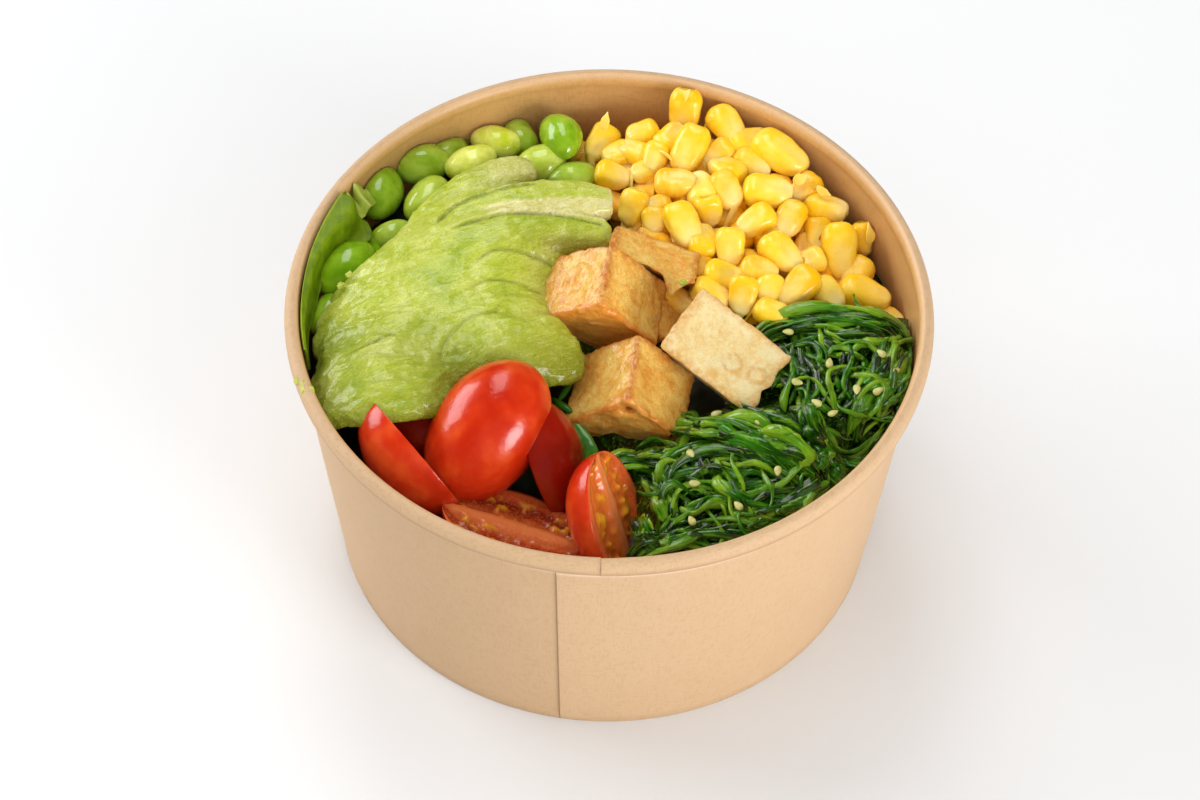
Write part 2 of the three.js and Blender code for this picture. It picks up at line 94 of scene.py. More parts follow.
def lattice(cells, seed):
    """A repeatable number from 0 to 1 for each whole-numbered point."""
    x, y, z = (cells[:, k].astype(np.uint32) for k in range(3))
    mixed = x * np.uint32(374761393) + y * np.uint32(668265263) + z * np.uint32(2246822519)
    mixed = mixed + np.uint32((seed * 3266489917) % 4294967296)
    mixed = (mixed ^ (mixed >> np.uint32(13))) * np.uint32(1274126177)
    return (mixed ^ (mixed >> np.uint32(16))) / 4294967295.0


def noise(points, size, seed=0):
    """Smooth noise from -1 to 1 that changes over about `size`."""
    scaled = np.asarray(points, float) / size + 512.3
    base = np.floor(scaled).astype(np.int64)
    part = scaled - base
    part = part * part * (3 - 2 * part)
    total = np.zeros(len(scaled))
    for corner in range(8):
        offset = np.array([corner & 1, corner >> 1 & 1, corner >> 2 & 1])
        total += np.prod(np.where(offset, part, 1 - part), axis=1) * lattice(base + offset, seed)
    return 2 * total - 1


def layered(points, size, layers=3, seed=0):
    return sum(noise(points, size / 2**k, seed + k) / 2**k for k in range(layers))


def curve_through(knots, count):
    """`count` points along a Catmull-Rom curve through the knots."""
    knots = np.asarray(knots, float)
    padded = np.vstack([2 * knots[0] - knots[1], knots, 2 * knots[-1] - knots[-2]])
    spans = len(knots) - 1
    place = np.linspace(0, spans, count)
    span = np.minimum(place.astype(int), spans - 1)
    t = (place - span)[:, None]
    a, b, c, d = (padded[span + k] for k in range(4))
    return 0.5 * (2 * b + (c - a) * t + (2 * a - 5 * b + 4 * c - d) * t**2 + (3 * b - a - 3 * c + d) * t**3)


def placed(points, at, turn):
    """Points rolled about X, tilted about Y and headed about Z, in degrees, then moved."""
    heading, tilt, roll = (math.radians(angle) for angle in turn)
    turned = Matrix.Rotation(heading, 3, "Z") @ Matrix.Rotation(tilt, 3, "Y") @ Matrix.Rotation(roll, 3, "X")
    return points @ np.array(turned).T + np.array(at, float)


# ---------------------------------------------------------------- meshes
# A shape is (points, [faces of one size], {attribute: a value for each point}).


def grid_faces(rows, columns, wrap_columns=False):
    """Quads over a grid of points stored row by row."""
    near = np.arange(rows - 1)[:, None] * columns
    left = np.arange(columns if wrap_columns else columns - 1)[None, :]
    far, right = near + columns, (left + 1) % columns
    return np.stack([near + left, near + right, far + right, far + left], axis=-1).reshape(-1, 4)


def fan(centre, ring):
    """Triangles from one point to a closed ring of points."""
    return np.stack([np.full(len(ring), centre), ring, np.roll(ring, -1)], axis=1)


def tube_faces(rows, around, inward=False):
    """A tube of rings, closed by two more points: one for its first end, then one for its last."""
    size, first = rows * around, np.arange(around)
    sides, last = grid_faces(rows, around, wrap_columns=True), first + size - around
    if inward:
        sides, first, last = sides[:, ::-1], first[::-1], last[::-1]
    return [sides, np.vstack([fan(size, first[::-1]), fan(size + 1, last)])]


def sheet_edge(rows, columns):
    """The points round the edge of a grid, and the next one of each."""
    sides = [
        np.arange(columns),
        np.arange(2, rows + 1) * columns - 1,
        np.arange(rows * columns - 2, (rows - 1) * columns - 1, -1),
        np.arange(rows - 2, 0, -1) * columns,
    ]
    edge = np.concatenate(sides)
    return edge, np.roll(edge, -1)


def joined(parts):
    """Several shapes as one."""
    shift = 0
    points, quads, triangles, values = [], [], [], {}
    for part_points, part_faces, part_values in parts:
        points.append(part_points)
        for faces in part_faces:
            (quads if faces.shape[1] == 4 else triangles).append(faces + shift)
        for key, value in part_values.items():
            values.setdefault(key, []).append(value)
        shift += len(part_points)
    faces = [np.vstack(group) for group in (quads, triangles) if group]
    return np.vstack(points), faces, {key: np.concatenate(value) for key, value in values.items()}


def linked(name, data):
    made = bpy.data.objects.new(name, data)
    bpy.context.scene.collection.objects.link(made)
    return made


def mesh_piece(name, shape, material, nodes):
    """A shape in millimetres as an object in metres that rides with the bowl."""
    points, faces, values = shape
    mesh = bpy.data.meshes.new(name)
    loops = np.concatenate([group.ravel() for group in faces]).astype(np.int32)
    sizes = np.concatenate([np.full(len(group), group.shape[1]) for group in faces]).astype(np.int32)
    mesh.vertices.add(len(points))
    mesh.loops.add(len(loops))
    mesh.polygons.add(len(sizes))
    mesh.vertices.foreach_set("co", (points * MM).astype(np.float32).ravel())
    mesh.loops.foreach_set("vertex_index", loops)
    mesh.polygons.foreach_set("loop_start", (np.cumsum(sizes) - sizes).astype(np.int32))
    mesh.polygons.foreach_set("loop_total", sizes)
    mesh.update(calc_edges=True)
    mesh.validate()
    mesh.shade_smooth()
    for key, value in values.items():
        layer = mesh.attributes.new(name=key, type="FLOAT", domain="POINT")
        layer.data.foreach_set("value", value.astype(np.float32))
    mesh.materials.append(material)
    piece = linked(name, mesh)
    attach(piece, "root")
    if nodes:
        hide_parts(*nodes)


def ball(around, along):
    """A unit ball with its poles on the X axis."""
    angle, spin = crossed(np.linspace(0, np.pi, along + 1)[1:-1], full_turn(around))
    rings = np.column_stack([-np.cos(angle), np.sin(angle) * np.cos(spin), np.sin(angle) * np.sin(spin)])
    return np.vstack([rings, [[-1, 0, 0], [1, 0, 0]]]), tube_faces(along - 1, around)


def normals_of(points, faces):
    """The outward direction at each point of a shape."""
    total = np.zeros_like(points)
    for group in faces:
        a, b, c = points[group[:, 0]], points[group[:, 1]], points[group[:, -1]]
        normal = np.cross(b - a, c - a)
        for k in range(group.shape[1]):
            np.add.at(total, group[:, k], normal)
    return unit(total, 1e-12)


def roughened(points, faces, depth, size, seed=0, shift=0):
    return points + normals_of(points, faces) * (depth * layered(points + shift, size, 2, seed))[:, None]


# ---------------------------------------------------------------- materials


def linear(colour):
    """A display colour, 0 to 255, as the linear one that Blender works in."""
    parts = [value / 255 for value in colour]
    light = [part / 12.92 if part <= 0.04045 else ((part + 0.055) / 1.055) ** 2.4 for part in parts]
    return (*light, 1.0)


class Look:
    """A Principled material and the nodes that feed it."""

    def __init__(self, name, specular=0.5, coat=(0.0, 0.03), soft=None):
        """`coat` is (weight, roughness); `soft` is (weight, how deep red, green and blue light go in mm)."""
        self.material = bpy.data.materials.new(name)
        self.material.use_nodes = True
        self.tree = self.material.node_tree
        self.shader = self.tree.nodes["Principled BSDF"]
        self.coordinates = self.tree.nodes.new("ShaderNodeTexCoord").outputs["Object"]
        values = {"Specular IOR Level": specular, "Coat Weight": coat[0], "Coat Roughness": coat[1]}
        if soft:
            values |= {"Subsurface Weight": soft[0], "Subsurface Radius": soft[1:], "Subsurface Scale": MM}
        for key, value in values.items():
            self.shader.inputs[key].default_value = value

    def feed(self, socket, value):
        if isinstance(value, bpy.types.NodeSocket):
            self.tree.links.new(value, socket)
        else:
            socket.default_value = value

    def node(self, kind, inputs, **settings):
        made = self.tree.nodes.new("ShaderNode" + kind)
        for key, value in settings.items():
            setattr(made, key, value)
        for key, value in inputs.items():
            self.feed(made.inputs[key], value)
        return made

    def attribute(self, name):
        return self.node("Attribute", {}, attribute_name=name).outputs["Fac"]

    def noise(self, size, detail=2.0, stretch=(1, 1, 1), seed=0.0, roughness=0.5, heading=0.0):
        """Noise that changes over `size` millimetres; `heading` turns the way it is stretched."""
        scale = [factor / (size * MM) for factor in stretch]
        turned = self.node("VectorRotate", {"Vector": self.coordinates, "Angle": -math.radians(heading)})
        place = {"Vector": turned.outputs[0], "Scale": scale, "Location": (seed, seed, seed)}
        return self.noise_at(self.node("Mapping", place).outputs[0], detail, roughness)

    def noise_at(self, place, detail, roughness):
        values = {"Vector": place, "Scale": 1.0, "Detail": detail, "Roughness": roughness}
        return self.node("TexNoise", values).outputs["Fac"]

    def ramp(self, factor, stops):
        """Colours over a factor: stops are {position: (r, g, b)} in display values 0 to 255."""
        made = self.node("ValToRGB", {"Fac": factor})
        elements = made.color_ramp.elements
        while len(elements) < len(stops):
            elements.new(0.5)
        for element, (position, colour) in zip(elements, stops.items()):
            element.position = position
            element.color = linear(colour)
        return made.outputs["Color"]

    def spread(self, value, low, high, to_low=0.0, to_high=1.0):
        values = {"Value": value, "From Min": low, "From Max": high, "To Min": to_low, "To Max": to_high}
        return self.node("MapRange", values).outputs["Result"]

    def tones(self, source, stops, low=0.3, high=0.7):
        return self.ramp(self.spread(source, low, high), stops)

    def maths(self, operation, a, b):
        return self.node("Math", {0: a, 1: b}, operation=operation).outputs[0]

    def mean(self, a, b):
        return self.maths("MULTIPLY", self.maths("ADD", a, b), 0.5)

    def over(self, colour, *films):
        """A colour under films: (factor, tint), or (noise, low, high, most, tint) where a noise spreads it."""
        for *source, tint in films:
            factor = source[0]
            if len(source) > 1:
                factor = self.spread(*source[:3], 0.0, source[3])
            elif isinstance(factor, str):
                factor = self.attribute(factor)
            made = self.node("Mix", {0: factor, 6: colour}, data_type="RGBA")
            self.feed(made.inputs[7], tint if isinstance(tint, bpy.types.NodeSocket) else linear(tint))
            colour = made.outputs[2]
        return colour

    def finish(self, colour, roughness, *bumps):
        """The material; each bump is (height socket, depth in millimetres)."""
        self.feed(self.shader.inputs["Base Color"], colour)
        self.feed(self.shader.inputs["Roughness"], roughness)
        target = self.shader.inputs["Normal"]
        for height, depth in reversed(bumps):
            made = self.node("Bump", {"Height": height, "Strength": 1.0, "Distance": depth * MM})
            self.feed(target, made.outputs["Normal"])
            target = made.inputs["Normal"]
        return self.material


def kraft_look(name, base, streak, dark, roughness, coat):
    look = Look(name, 0.3, (coat, 0.35))
    weave = look.mean(look.noise(0.45, 2.0, (1, 1, 0.15)), look.noise(0.5, 2.0, (0.25, 0.25, 1.4), 5.0))
    clouds = look.noise(7.0, 3.0, (1, 1, 0.6), 3.0)
    colour = look.over(
        look.tones(weave, {0.0: streak, 0.6: base, 1.0: base}, 0.36, 0.64),
        (clouds, 0.35, 0.75, 0.25, streak),
        (look.noise(0.8, 2.0, (1, 1, 0.5), 8.0), 0.72, 0.78, 0.25, dark),
        # shade: dark seam lines, the lower sheet's tone and painted shade under the rolled rim
        ("shade", dark),
        # line: a painted highlight, below the rolled rim outside and along the rim's top inside
        ("line", (244, 226, 204)),
    )
    rough = look.spread(weave, 0.36, 0.64, roughness - 0.08, roughness + 0.08)
    return look.finish(colour, rough, (clouds, 0.1), (weave, 0.05), (look.noise(0.22), 0.015))


def avocado_look():
    look = Look("avocado", 0.35, (0.6, 0.2), (0.12, 1.6, 1.4, 0.3))
    broad = look.noise(11.0, 3.0, seed=2.0, roughness=0.6)
    streaks = look.noise(2.2, 5.0, (0.4, 1.2, 1), 5.0, 0.7, 28)
    fibres = look.noise(0.9, 4.0, (0.22, 1.3, 1), 9.0, 0.65, 30)
    grain = look.noise(0.55, 3.0, (0.8, 1.2, 1), 7.0, 0.7, 28)
    wrinkles = look.noise(1.6, 4.0, (0.6, 1.2, 1), 11.0, 0.7, 20)
    colour = look.over(
        look.tones(broad, {0.0: (163, 184, 24), 0.5: (194, 206, 54), 1.0: (220, 224, 108)}),
        (streaks, 0.5, 0.7, 0.34, (226, 227, 136)),
        (streaks, 0.48, 0.32, 0.28, (160, 174, 18)),
        # painted shade on the low front of the fat end
        ("low", (126, 142, 2)),
        ("ripe", (186, 170, 34)),
        ("cut", look.tones(streaks, {0.0: (216, 206, 104), 0.6: (236, 226, 150), 1.0: (244, 236, 178)})),
        ("olive", (158, 146, 36)),
        (fibres, 0.54, 0.7, 0.35, (232, 236, 140)),
        (fibres, 0.46, 0.3, 0.35, (156, 172, 22)),
        (grain, 0.58, 0.72, 0.5, (232, 234, 156)),
        (grain, 0.42, 0.3, 0.3, (160, 166, 30)),
        # painted shade along the creases between the slices
        ("crease", (112, 122, 14)),
    )
    rough = look.spread(grain, 0.3, 0.7, 0.35, 0.6)
    return look.finish(colour, rough, (streaks, 0.4), (wrinkles, 0.75), (fibres, 0.2), (grain, 0.55))


def bean_look():
    look = Look("edamame", 0.25, (0.9, 0.06), (0.2, 0.8, 1.4, 0.2))
    mottle = look.noise(3.5, 3.0, seed=1.0)
    colour = look.over(
        look.tones(mottle, {0.0: (100, 150, 0), 1.0: (140, 184, 0)}),
        ("tone", look.tones(mottle, {0.0: (204, 218, 44), 1.0: (244, 246, 130)})),
        ("edge", (176, 206, 74)),
    )
    rough = look.spread(mottle, 0.3, 0.7, 0.2, 0.34)
    return look.finish(colour, rough, (look.noise(2.2, seed=4.0), 0.08), (look.noise(0.5, seed=6.0), 0.01))


def corn_look():
    look = Look("sweetcorn", 0.35, (0.35, 0.14), (0.12, 1.2, 1.0, 0.2))
    mottle = look.noise(3.0, 3.0, seed=1.0)
    skin = {0.0: (240, 168, 4), 0.35: (250, 190, 12), 0.75: (255, 208, 34), 1.0: (254, 226, 110)}
    colour = look.over(
        look.ramp(look.attribute("tone"), skin),
        (mottle, 0.45, 0.65, 0.5, (255, 222, 96)),
        ("tip", (252, 230, 150)),
    )
    rough = look.spread(mottle, 0.3, 0.7, 0.2, 0.36)
    return look.finish(colour, rough, (look.noise(2.4, seed=4.0), 0.16), (look.noise(0.5, seed=9.0), 0.03))


def tofu_look(name, pale, mid, brown, toasted, dark, blister):
    look = Look(name, 0.35, (0.6, 0.2), (0.15, 2.0, 1.1, 0.3))
    broad = look.noise(6.0, 3.0, seed=2.0, roughness=0.6)
    crust = look.noise(1.3, 4.0, seed=5.0, roughness=0.7)
    pores = look.noise(0.4, 3.0, seed=7.0, roughness=0.7)
    colour = look.over(
        look.tones(look.mean(broad, crust), {0.0: pale, 0.5: mid, 1.0: brown}, 0.37, 0.63),
        # toasted brown on the edges, with painted shade in deep dents
        (look.maths("MULTIPLY", look.attribute("edge"), look.spread(crust, 0.3, 0.65, 0.3, 1.0)), toasted),
        (pores, 0.6, 0.78, 0.55, pale),
        (pores, 0.4, 0.25, 0.5, dark),
        ("blister", blister),
        # painted light: the tofu's underside lit orange as if by bounced light
        ("below", (255, 164, 60)),
    )
    return look.finish(colour, look.spread(crust, 0.3, 0.7, 0.5, 0.3), (crust, 0.6), (pores, 0.45))


def tomato_look():
    look = Look("tomato", 0.3, (0.5, 0.16), (0.1, 2.0, 0.5, 0.1))
    mottle, fine = look.noise(7.0, seed=1.0), look.noise(0.6, 3.0, seed=3.0)
    # From the skin inward: the skin's edge, the wall, the wet pulp and the core.
    flesh = {0.0: (200, 52, 16), 0.1: (220, 104, 54), 0.24: (206, 74, 30), 0.34: (136, 26, 6)}
    flesh |= {0.6: (158, 48, 10), 0.8: (214, 104, 48), 1.0: (226, 130, 72)}
    cut = look.over(
        look.ramp(look.attribute("depth"), flesh),
        (fine, 0.4, 0.7, 0.35, (236, 140, 80)),
        ("gold", (224, 112, 40)),
        ("seed", (226, 148, 34)),
    )
    skin = look.tones(mottle, {0.0: (186, 36, 8), 0.55: (202, 50, 14), 1.0: (216, 74, 26)})
    # The dark red mix darkens pieces 4 and 6: partly their deeper skin, partly painted shade where they lie in
    # shadow
    colour = look.over(skin, ("cut", cut), ("ripe", (132, 14, 4)))
    bumps = (look.noise(5.0, seed=5.0), 0.2), (look.noise(1.4, 3.0, seed=8.0), 0.07), (fine, 0.06)
    return look.finish(colour, look.spread(mottle, 0.3, 0.7, 0.14, 0.24), *bumps)


def seaweed_look():
    look = Look("seaweed", 0.35, (0.7, 0.06))
    tone = look.attribute("tone")
    lengthwise = {"X": look.attribute("across"), "Y": look.attribute("along"), "Z": tone}
    threads = look.noise_at(look.node("CombineXYZ", lengthwise).outputs[0], 3.0, 0.6)
    mottle, fine = look.noise(4.0, 3.0, seed=1.0), look.noise(0.7, seed=5.0)
    colour = look.over(
        look.ramp(tone, {0.0: (3, 14, 1), 0.3: (12, 50, 2), 0.65: (44, 118, 6), 1.0: (140, 178, 34)}),
        (mottle, 0.45, 0.75, 0.5, (76, 138, 12)),
        (mottle, 0.5, 0.25, 0.6, (8, 34, 2)),
        (threads, 0.52, 0.7, 0.7, (120, 164, 40)),
        (threads, 0.46, 0.3, 0.6, (6, 32, 2)),
    )
    return look.finish(colour, look.spread(fine, 0.3, 0.7, 0.1, 0.26), (threads, 0.5), (fine, 0.06))


def plain_look(name, dark, light, size, roughness, coat, depth):
    look = Look(name, coat=(coat, 0.2))
    mottle = look.noise(size, 4.0, seed=1.0, roughness=0.6)
    rough = look.spread(mottle, 0.3, 0.7, roughness, roughness + 0.15)
    bumps = (mottle, depth), (look.noise(size / 5, seed=4.0), depth / 4)
    return look.finish(look.tones(mottle, {0.0: dark, 1.0: light}), rough, *bumps)


def leaf_look(name, dark, light, vein, coat=(0.04, 0.3)):
    look = Look(name, 0.2, coat, (0.2, 0.6, 1.4, 0.3))
    mottle = look.noise(4.0, 4.0, seed=1.0, roughness=0.6)
    # vein: the leaves' veins, and on the wall leaf also a painted light band along its outer edge
    colour = look.over(look.tones(mottle, {0.0: dark, 1.0: light}), ("vein", vein))
    bumps = (look.noise(1.4, 3.0, seed=3.0), 0.12), (look.noise(0.3, seed=5.0), 0.03)
    return look.finish(colour, look.spread(mottle, 0.3, 0.7, 0.4, 0.55), *bumps)


# ---------------------------------------------------------------- bowl

BODY_SEAM = -98.2  # degrees round the bowl, where the paper wall overlaps itself
RIM_SEAM = -90.3  # where the rolled rim overlaps itself


def wall_outside(z):
    return lerp(FOOT_RADIUS, NECK_RADIUS, z / NECK_HEIGHT)


def wall_inside(z):
    return wall_outside(z) - PAPER


def inside_bowl(points, gap=0.4):
    """Points moved in, where needed, to clear the wall and the rim."""
    from_axis = np.hypot(points[:, 0], points[:, 1])
    room = np.where(points[:, 2] < NECK_HEIGHT, wall_inside(points[:, 2]), MOUTH) - gap
    held = points.copy()
    held[:, :2] *= np.minimum(1, room / np.maximum(from_axis, 1e-6))[:, None]
    return held


def around_bowl(*seams):
    """Angles round the bowl, closer together at the seams."""
    extra = [seam % 360 + step for seam in seams for step in (-0.3, -0.12, 0.0, 0.12, 0.3)]
    return np.radians(np.unique(np.concatenate([np.arange(0, 360, 1.5), extra])))


def lathe(profile, angles, stray, marks):
    """A profile of (radius, height) turned about Z; `stray` moves its points a little."""
    radius, height = np.array(profile, float).T
    across, around = crossed(np.arange(len(profile)), angles)
    r, z = radius[across], height[across]
    shade, line = marks(r, z, around)
    points = polar(r + stray(r, z, around), around, z)
    return points, [grid_faces(len(profile), len(angles), True)], {"shade": shade, "line": line}


def past(angles, seam, width):
    """1 just past a seam, falling to 0 over `width` degrees, and 0 before it."""
    beyond = (np.degrees(angles) - seam) % 360
    return np.where(beyond < width, 1 - smoothstep(beyond, 0, width), 0.0)


def at_seam(angles, seam):
    away = (np.degrees(angles) - seam + 180) % 360 - 180
    return bell(away + 0.1, 0.14)


def rolled_rim(start, end):
    """The round of the rim as (radius, height), between two angles in degrees."""
    angle = np.radians(np.linspace(start, end, 18))
    return list(zip(RIM_CENTRE + RIM_WIDTH / 2 * np.cos(angle), HEIGHT - RIM_DEPTH / 2 * (1 - np.sin(angle))))


def outer_paper():
    inner_foot, under = FOOT_RADIUS - 2 * PAPER, FLOOR_HEIGHT - PAPER
    heights = [*np.linspace(0.35, 67.2, 22), 67.8, 68.4, 68.8, 69.2, 69.6, 70.2, 70.8]
    profile = [
        (0.0, under), (inner_foot - 1.2, under), (inner_foot - 0.3, under - 0.3), (inner_foot, under - 1.2),
        (inner_foot, 0.25), (inner_foot + 0.3, 0.0), (FOOT_RADIUS - 0.3, 0.0),
        *[(wall_outside(z), z) for z in heights],
        (wall_outside(NECK_HEIGHT) + 0.02, NECK_HEIGHT - 0.1),
        *rolled_rim(-78, 100),
    ]

    def stray(r, z, angles):
        on_wall = smoothstep(z, 0.3, 1.5) * (r > FOOT_RADIUS - 0.4) * (1 - smoothstep(z, 70.3, 71.2))
        on_rim = smoothstep(z, 71.5, 73.0)
        step = 0.4 * past(angles, BODY_SEAM, 9) * on_wall + 0.25 * past(angles, RIM_SEAM, 5) * on_rim
        waver = 0.05 * np.sin(5 * angles + z / 9) + 0.04 * np.sin(11 * angles - z / 14)
        return step + waver * on_wall * (1 - on_rim) - 0.14 * on_rim

    def marks(r, z, angles):
        on_wall = (z < NECK_HEIGHT - 0.2) & (r > FOOT_RADIUS - 0.4)
        # painted shade: the rolled rim's underside is darkened through the shade value, which also holds the
        # dark seam lines and the lower sheet's tone
        shade_under_roll = smoothstep(z, 74.6, 72.2) * (z > NECK_HEIGHT)
        edges = 0.8 * at_seam(angles, BODY_SEAM) * on_wall + 0.6 * at_seam(angles, RIM_SEAM) * ~on_wall
        before = (BODY_SEAM - np.degrees(angles)) % 360
        lower_sheet = 0.12 * (before < 60) * (1 - before / 60) * on_wall
        # painted highlight: a light line round the wall just below the rolled rim
        line = 0.65 * bell(z - 68.8, 0.35) * on_wall * (0.5 + 0.5 * np.sin(3 * angles + 2.2) ** 2)
        return np.maximum(np.maximum(0.45 * shade_under_roll, edges), lower_sheet), line

    return lathe(profile, around_bowl(BODY_SEAM, RIM_SEAM), stray, marks)


def inner_paper():
    at_floor = wall_inside(FLOOR_HEIGHT)
    profile = [
        *[(r, z - 0.02) for r, z in rolled_rim(100, 205)],
        *[(wall_inside(z), z) for z in np.linspace(NECK_HEIGHT - 0.3, FLOOR_HEIGHT + 1.0, 20)],
        (at_floor - 0.4, FLOOR_HEIGHT + 0.2), (at_floor - 1.2, FLOOR_HEIGHT), (0.0, FLOOR_HEIGHT),
    ]

    def stray(r, z, angles):
        on_rim = smoothstep(z, 71.5, 73.0)
        return 0.22 * past(angles, RIM_SEAM, 5) * on_rim - 0.12 * on_rim * (r > RIM_CENTRE)

    def marks(r, z, angles):
        # painted highlight: the second value lightens the top of the rim
        return 0.5 * at_seam(angles, RIM_SEAM) * (z > NECK_HEIGHT), 0.2 * smoothstep(z, 74.5, 76.2)

    return lathe(profile, around_bowl(RIM_SEAM), stray, marks)


# ---------------------------------------------------------------- avocado

# Where each slice starts, bends over and ends, and how wide and deep it is there.
SLICES = [
    {"at": (-68, -19, 64), "over": (-52, -22, 82), "to": (-33, -18, 67), "width": (32, 24), "depth": 10},
    {"at": (-46, -20, 65), "over": (-26, -1, 82), "to": (-7, -14, 66), "width": (20, 20), "depth": 9},
    {"at": (-66.5, -12, 66), "over": (-41, 10, 82), "to": (-10, 2, 64), "width": (22, 15), "depth": 9},
    {"at": (-66, -5, 66), "over": (-40, 16, 82), "to": (-9, 12, 66), "width": (18, 13), "depth": 9},
    {"at": (-63.5, -0.5, 66), "over": (-40.5, 23, 81), "to": (0, 23, 72), "width": (18, 13), "depth": 9},
    {"at": (-58, 1.5, 66), "over": (-40, 30, 80), "to": (0, 33.5, 73), "width": (17, 12), "depth": 8,
     "blunt": 0.4},
    {"at": (-51, 5, 66), "over": (-41, 35, 77), "to": (-19, 45, 71), "width": (16, 10), "depth": 8},
]
DOME_CORNER, DOME_CELLS = (-80, -44), (91, 103)  # the grid of 1 mm cells that the dome is worked out on


def slice_shape(at, over, to, width, depth, blunt=0.6, crisp=False):
    """One slice, and the unit ball it is made from; a crisp one has flatter sides and a squarer end."""
    at, over, to = (np.array(point, float) for point in (at, over, to))
    n, faces = ball(64, 72)
    t = np.clip((n[:, :1] + 1) / 2, 0, 1)
    centre = (1 - t) ** 2 * at + 2 * t * (1 - t) * over + t**2 * to
    forward = unit(2 * (1 - t) * (over - at) + 2 * t * (to - over))
    side = unit(np.cross(UP, forward))
    ring = np.maximum(np.hypot(n[:, 1], n[:, 2]), 1e-6)[:, None]
    power = np.where(n[:, :1] > 0, 0.3, blunt) if crisp else blunt
    fullness = np.where(ring < 1e-4, 0, ring**power / ring)
    across, over_it = n[:, 1:2] * fullness, n[:, 2:3] * fullness
    if crisp:
        box = np.abs(n[:, 1:2] / ring) ** 3.2 + np.abs(n[:, 2:3] / ring) ** 3.2
        box = np.maximum(box, 0.3) ** (-1 / 3.2)
        across, over_it = across * box, over_it * box
    wide = lerp(width[0], width[1], t) / 2
    return centre + side * across * wide + np.cross(forward, side) * over_it * depth / 2, faces, n


def blurred(cells):
    for axis in (0, 1):
        cells = (np.roll(cells, 1, axis) + 2 * cells + np.roll(cells, -1, axis)) / 4
    return cells


def dome_over(points):
    """The taut skin that rests on the highest points, as heights over the grid of cells."""
    skin = np.zeros(DOME_CELLS)
    cells = [np.clip((points[:, k] - DOME_CORNER[k]).astype(int), 0, DOME_CELLS[k] - 1) for k in (0, 1)]
    np.maximum.at(skin, tuple(cells), points[:, 2])
    for _ in range(160):
        skin = np.maximum(skin, blurred(skin))
    for _ in range(6):
        skin = blurred(skin)
    return skin


def sampled(cells, points):
    """The height of a grid of cells at each point."""
    x, y = (np.clip(points[:, k] - DOME_CORNER[k] - 0.5, 0, DOME_CELLS[k] - 1.001) for k in (0, 1))
    i, j = x.astype(int), y.astype(int)
    u, v = x - i, y - j
    front = cells[i, j] * (1 - u) * (1 - v) + cells[i + 1, j] * u * (1 - v)
    return front + cells[i, j + 1] * (1 - u) * v + cells[i + 1, j + 1] * u * v


def fused(shape, size):
    """A shape of overlapping closed bodies as one skin, remade with cells of `size` millimetres."""
    points, faces, _ = shape
    mesh = bpy.data.meshes.new("fused")
    mesh.from_pydata(points * MM, [], [face for group in faces for face in group.tolist()])
    body = linked("fused", mesh)
    remesh = body.modifiers.new("remesh", "REMESH")
    remesh.mode = "VOXEL"
    remesh.voxel_size = size * MM
    made = body.evaluated_get(bpy.context.evaluated_depsgraph_get()).to_mesh()
    found = np.empty(len(made.vertices) * 3)
    made.vertices.foreach_get("co", found)
    quads = np.empty(len(made.polygons) * 4, int)
    made.polygons.foreach_get("vertices", quads)
    bpy.data.objects.remove(body)
    bpy.data.meshes.remove(mesh)
    return found.reshape(-1, 3) / MM, quads.reshape(-1, 4)


def relaxed(points, quads, weight, rounds):
    """Points drawn towards the middle of their neighbours, each as far as its weight."""
    near = np.concatenate([quads, np.roll(quads, -1, 1)]).ravel()
    far = np.concatenate([np.roll(quads, -1, 1), quads]).ravel()
    count = np.bincount(near, minlength=len(points))[:, None]
    for _ in range(rounds):
        total = np.column_stack([np.bincount(near, points[far, k], len(points)) for k in range(3)])
        points = points + weight[:, None] * (total / count - points)
    return points


def from_line(points, knots):
    """How far points lie from a curve, seen from above, and where along it they are (0 to 1)."""
    line = curve_through(knots, 60)
    away = np.hypot(points[:, :1] - line[:, 0], points[:, 1:2] - line[:, 1])
    return away.min(axis=1), away.argmin(axis=1) / 59


# Thin creases in the dome, from their left ends, and how deep each is.
CREASES = [
    ([(-41.7, 19.8), (-38.9, 24.6), (-33.5, 29.4), (-27.1, 32.4), (-18.9, 34.9)], 0.6),
    ([(-38.6, 18.1), (-32.7, 21.4), (-23.8, 24.5), (-15.2, 25.4), (-2.5, 24.9)], 0.7),
    ([(-33.8, 8.2), (-26.4, 13.6), (-16.9, 13.3), (-9.9, 12.3)], 0.4),
    ([(-33.6, 2.5), (-26.1, 6.0), (-16.2, 5.8)], 0.3),
    ([(-39.0, -20.0), (-36.5, -11.0), (-31.7, -5.8), (-25.8, -3.6)], 0.25),
    ([(-60.7, -17.7), (-55.0, -14.9), (-49.2, -11.5)], 0.4),
]

# Where the cut face of the second slice from the back shows its pale flesh.
CREAM = [(-32.5, 25.2), (-25, 26.4), (-18.5, 27.2), (-9.5, 28.4), (-1, 29.6)]


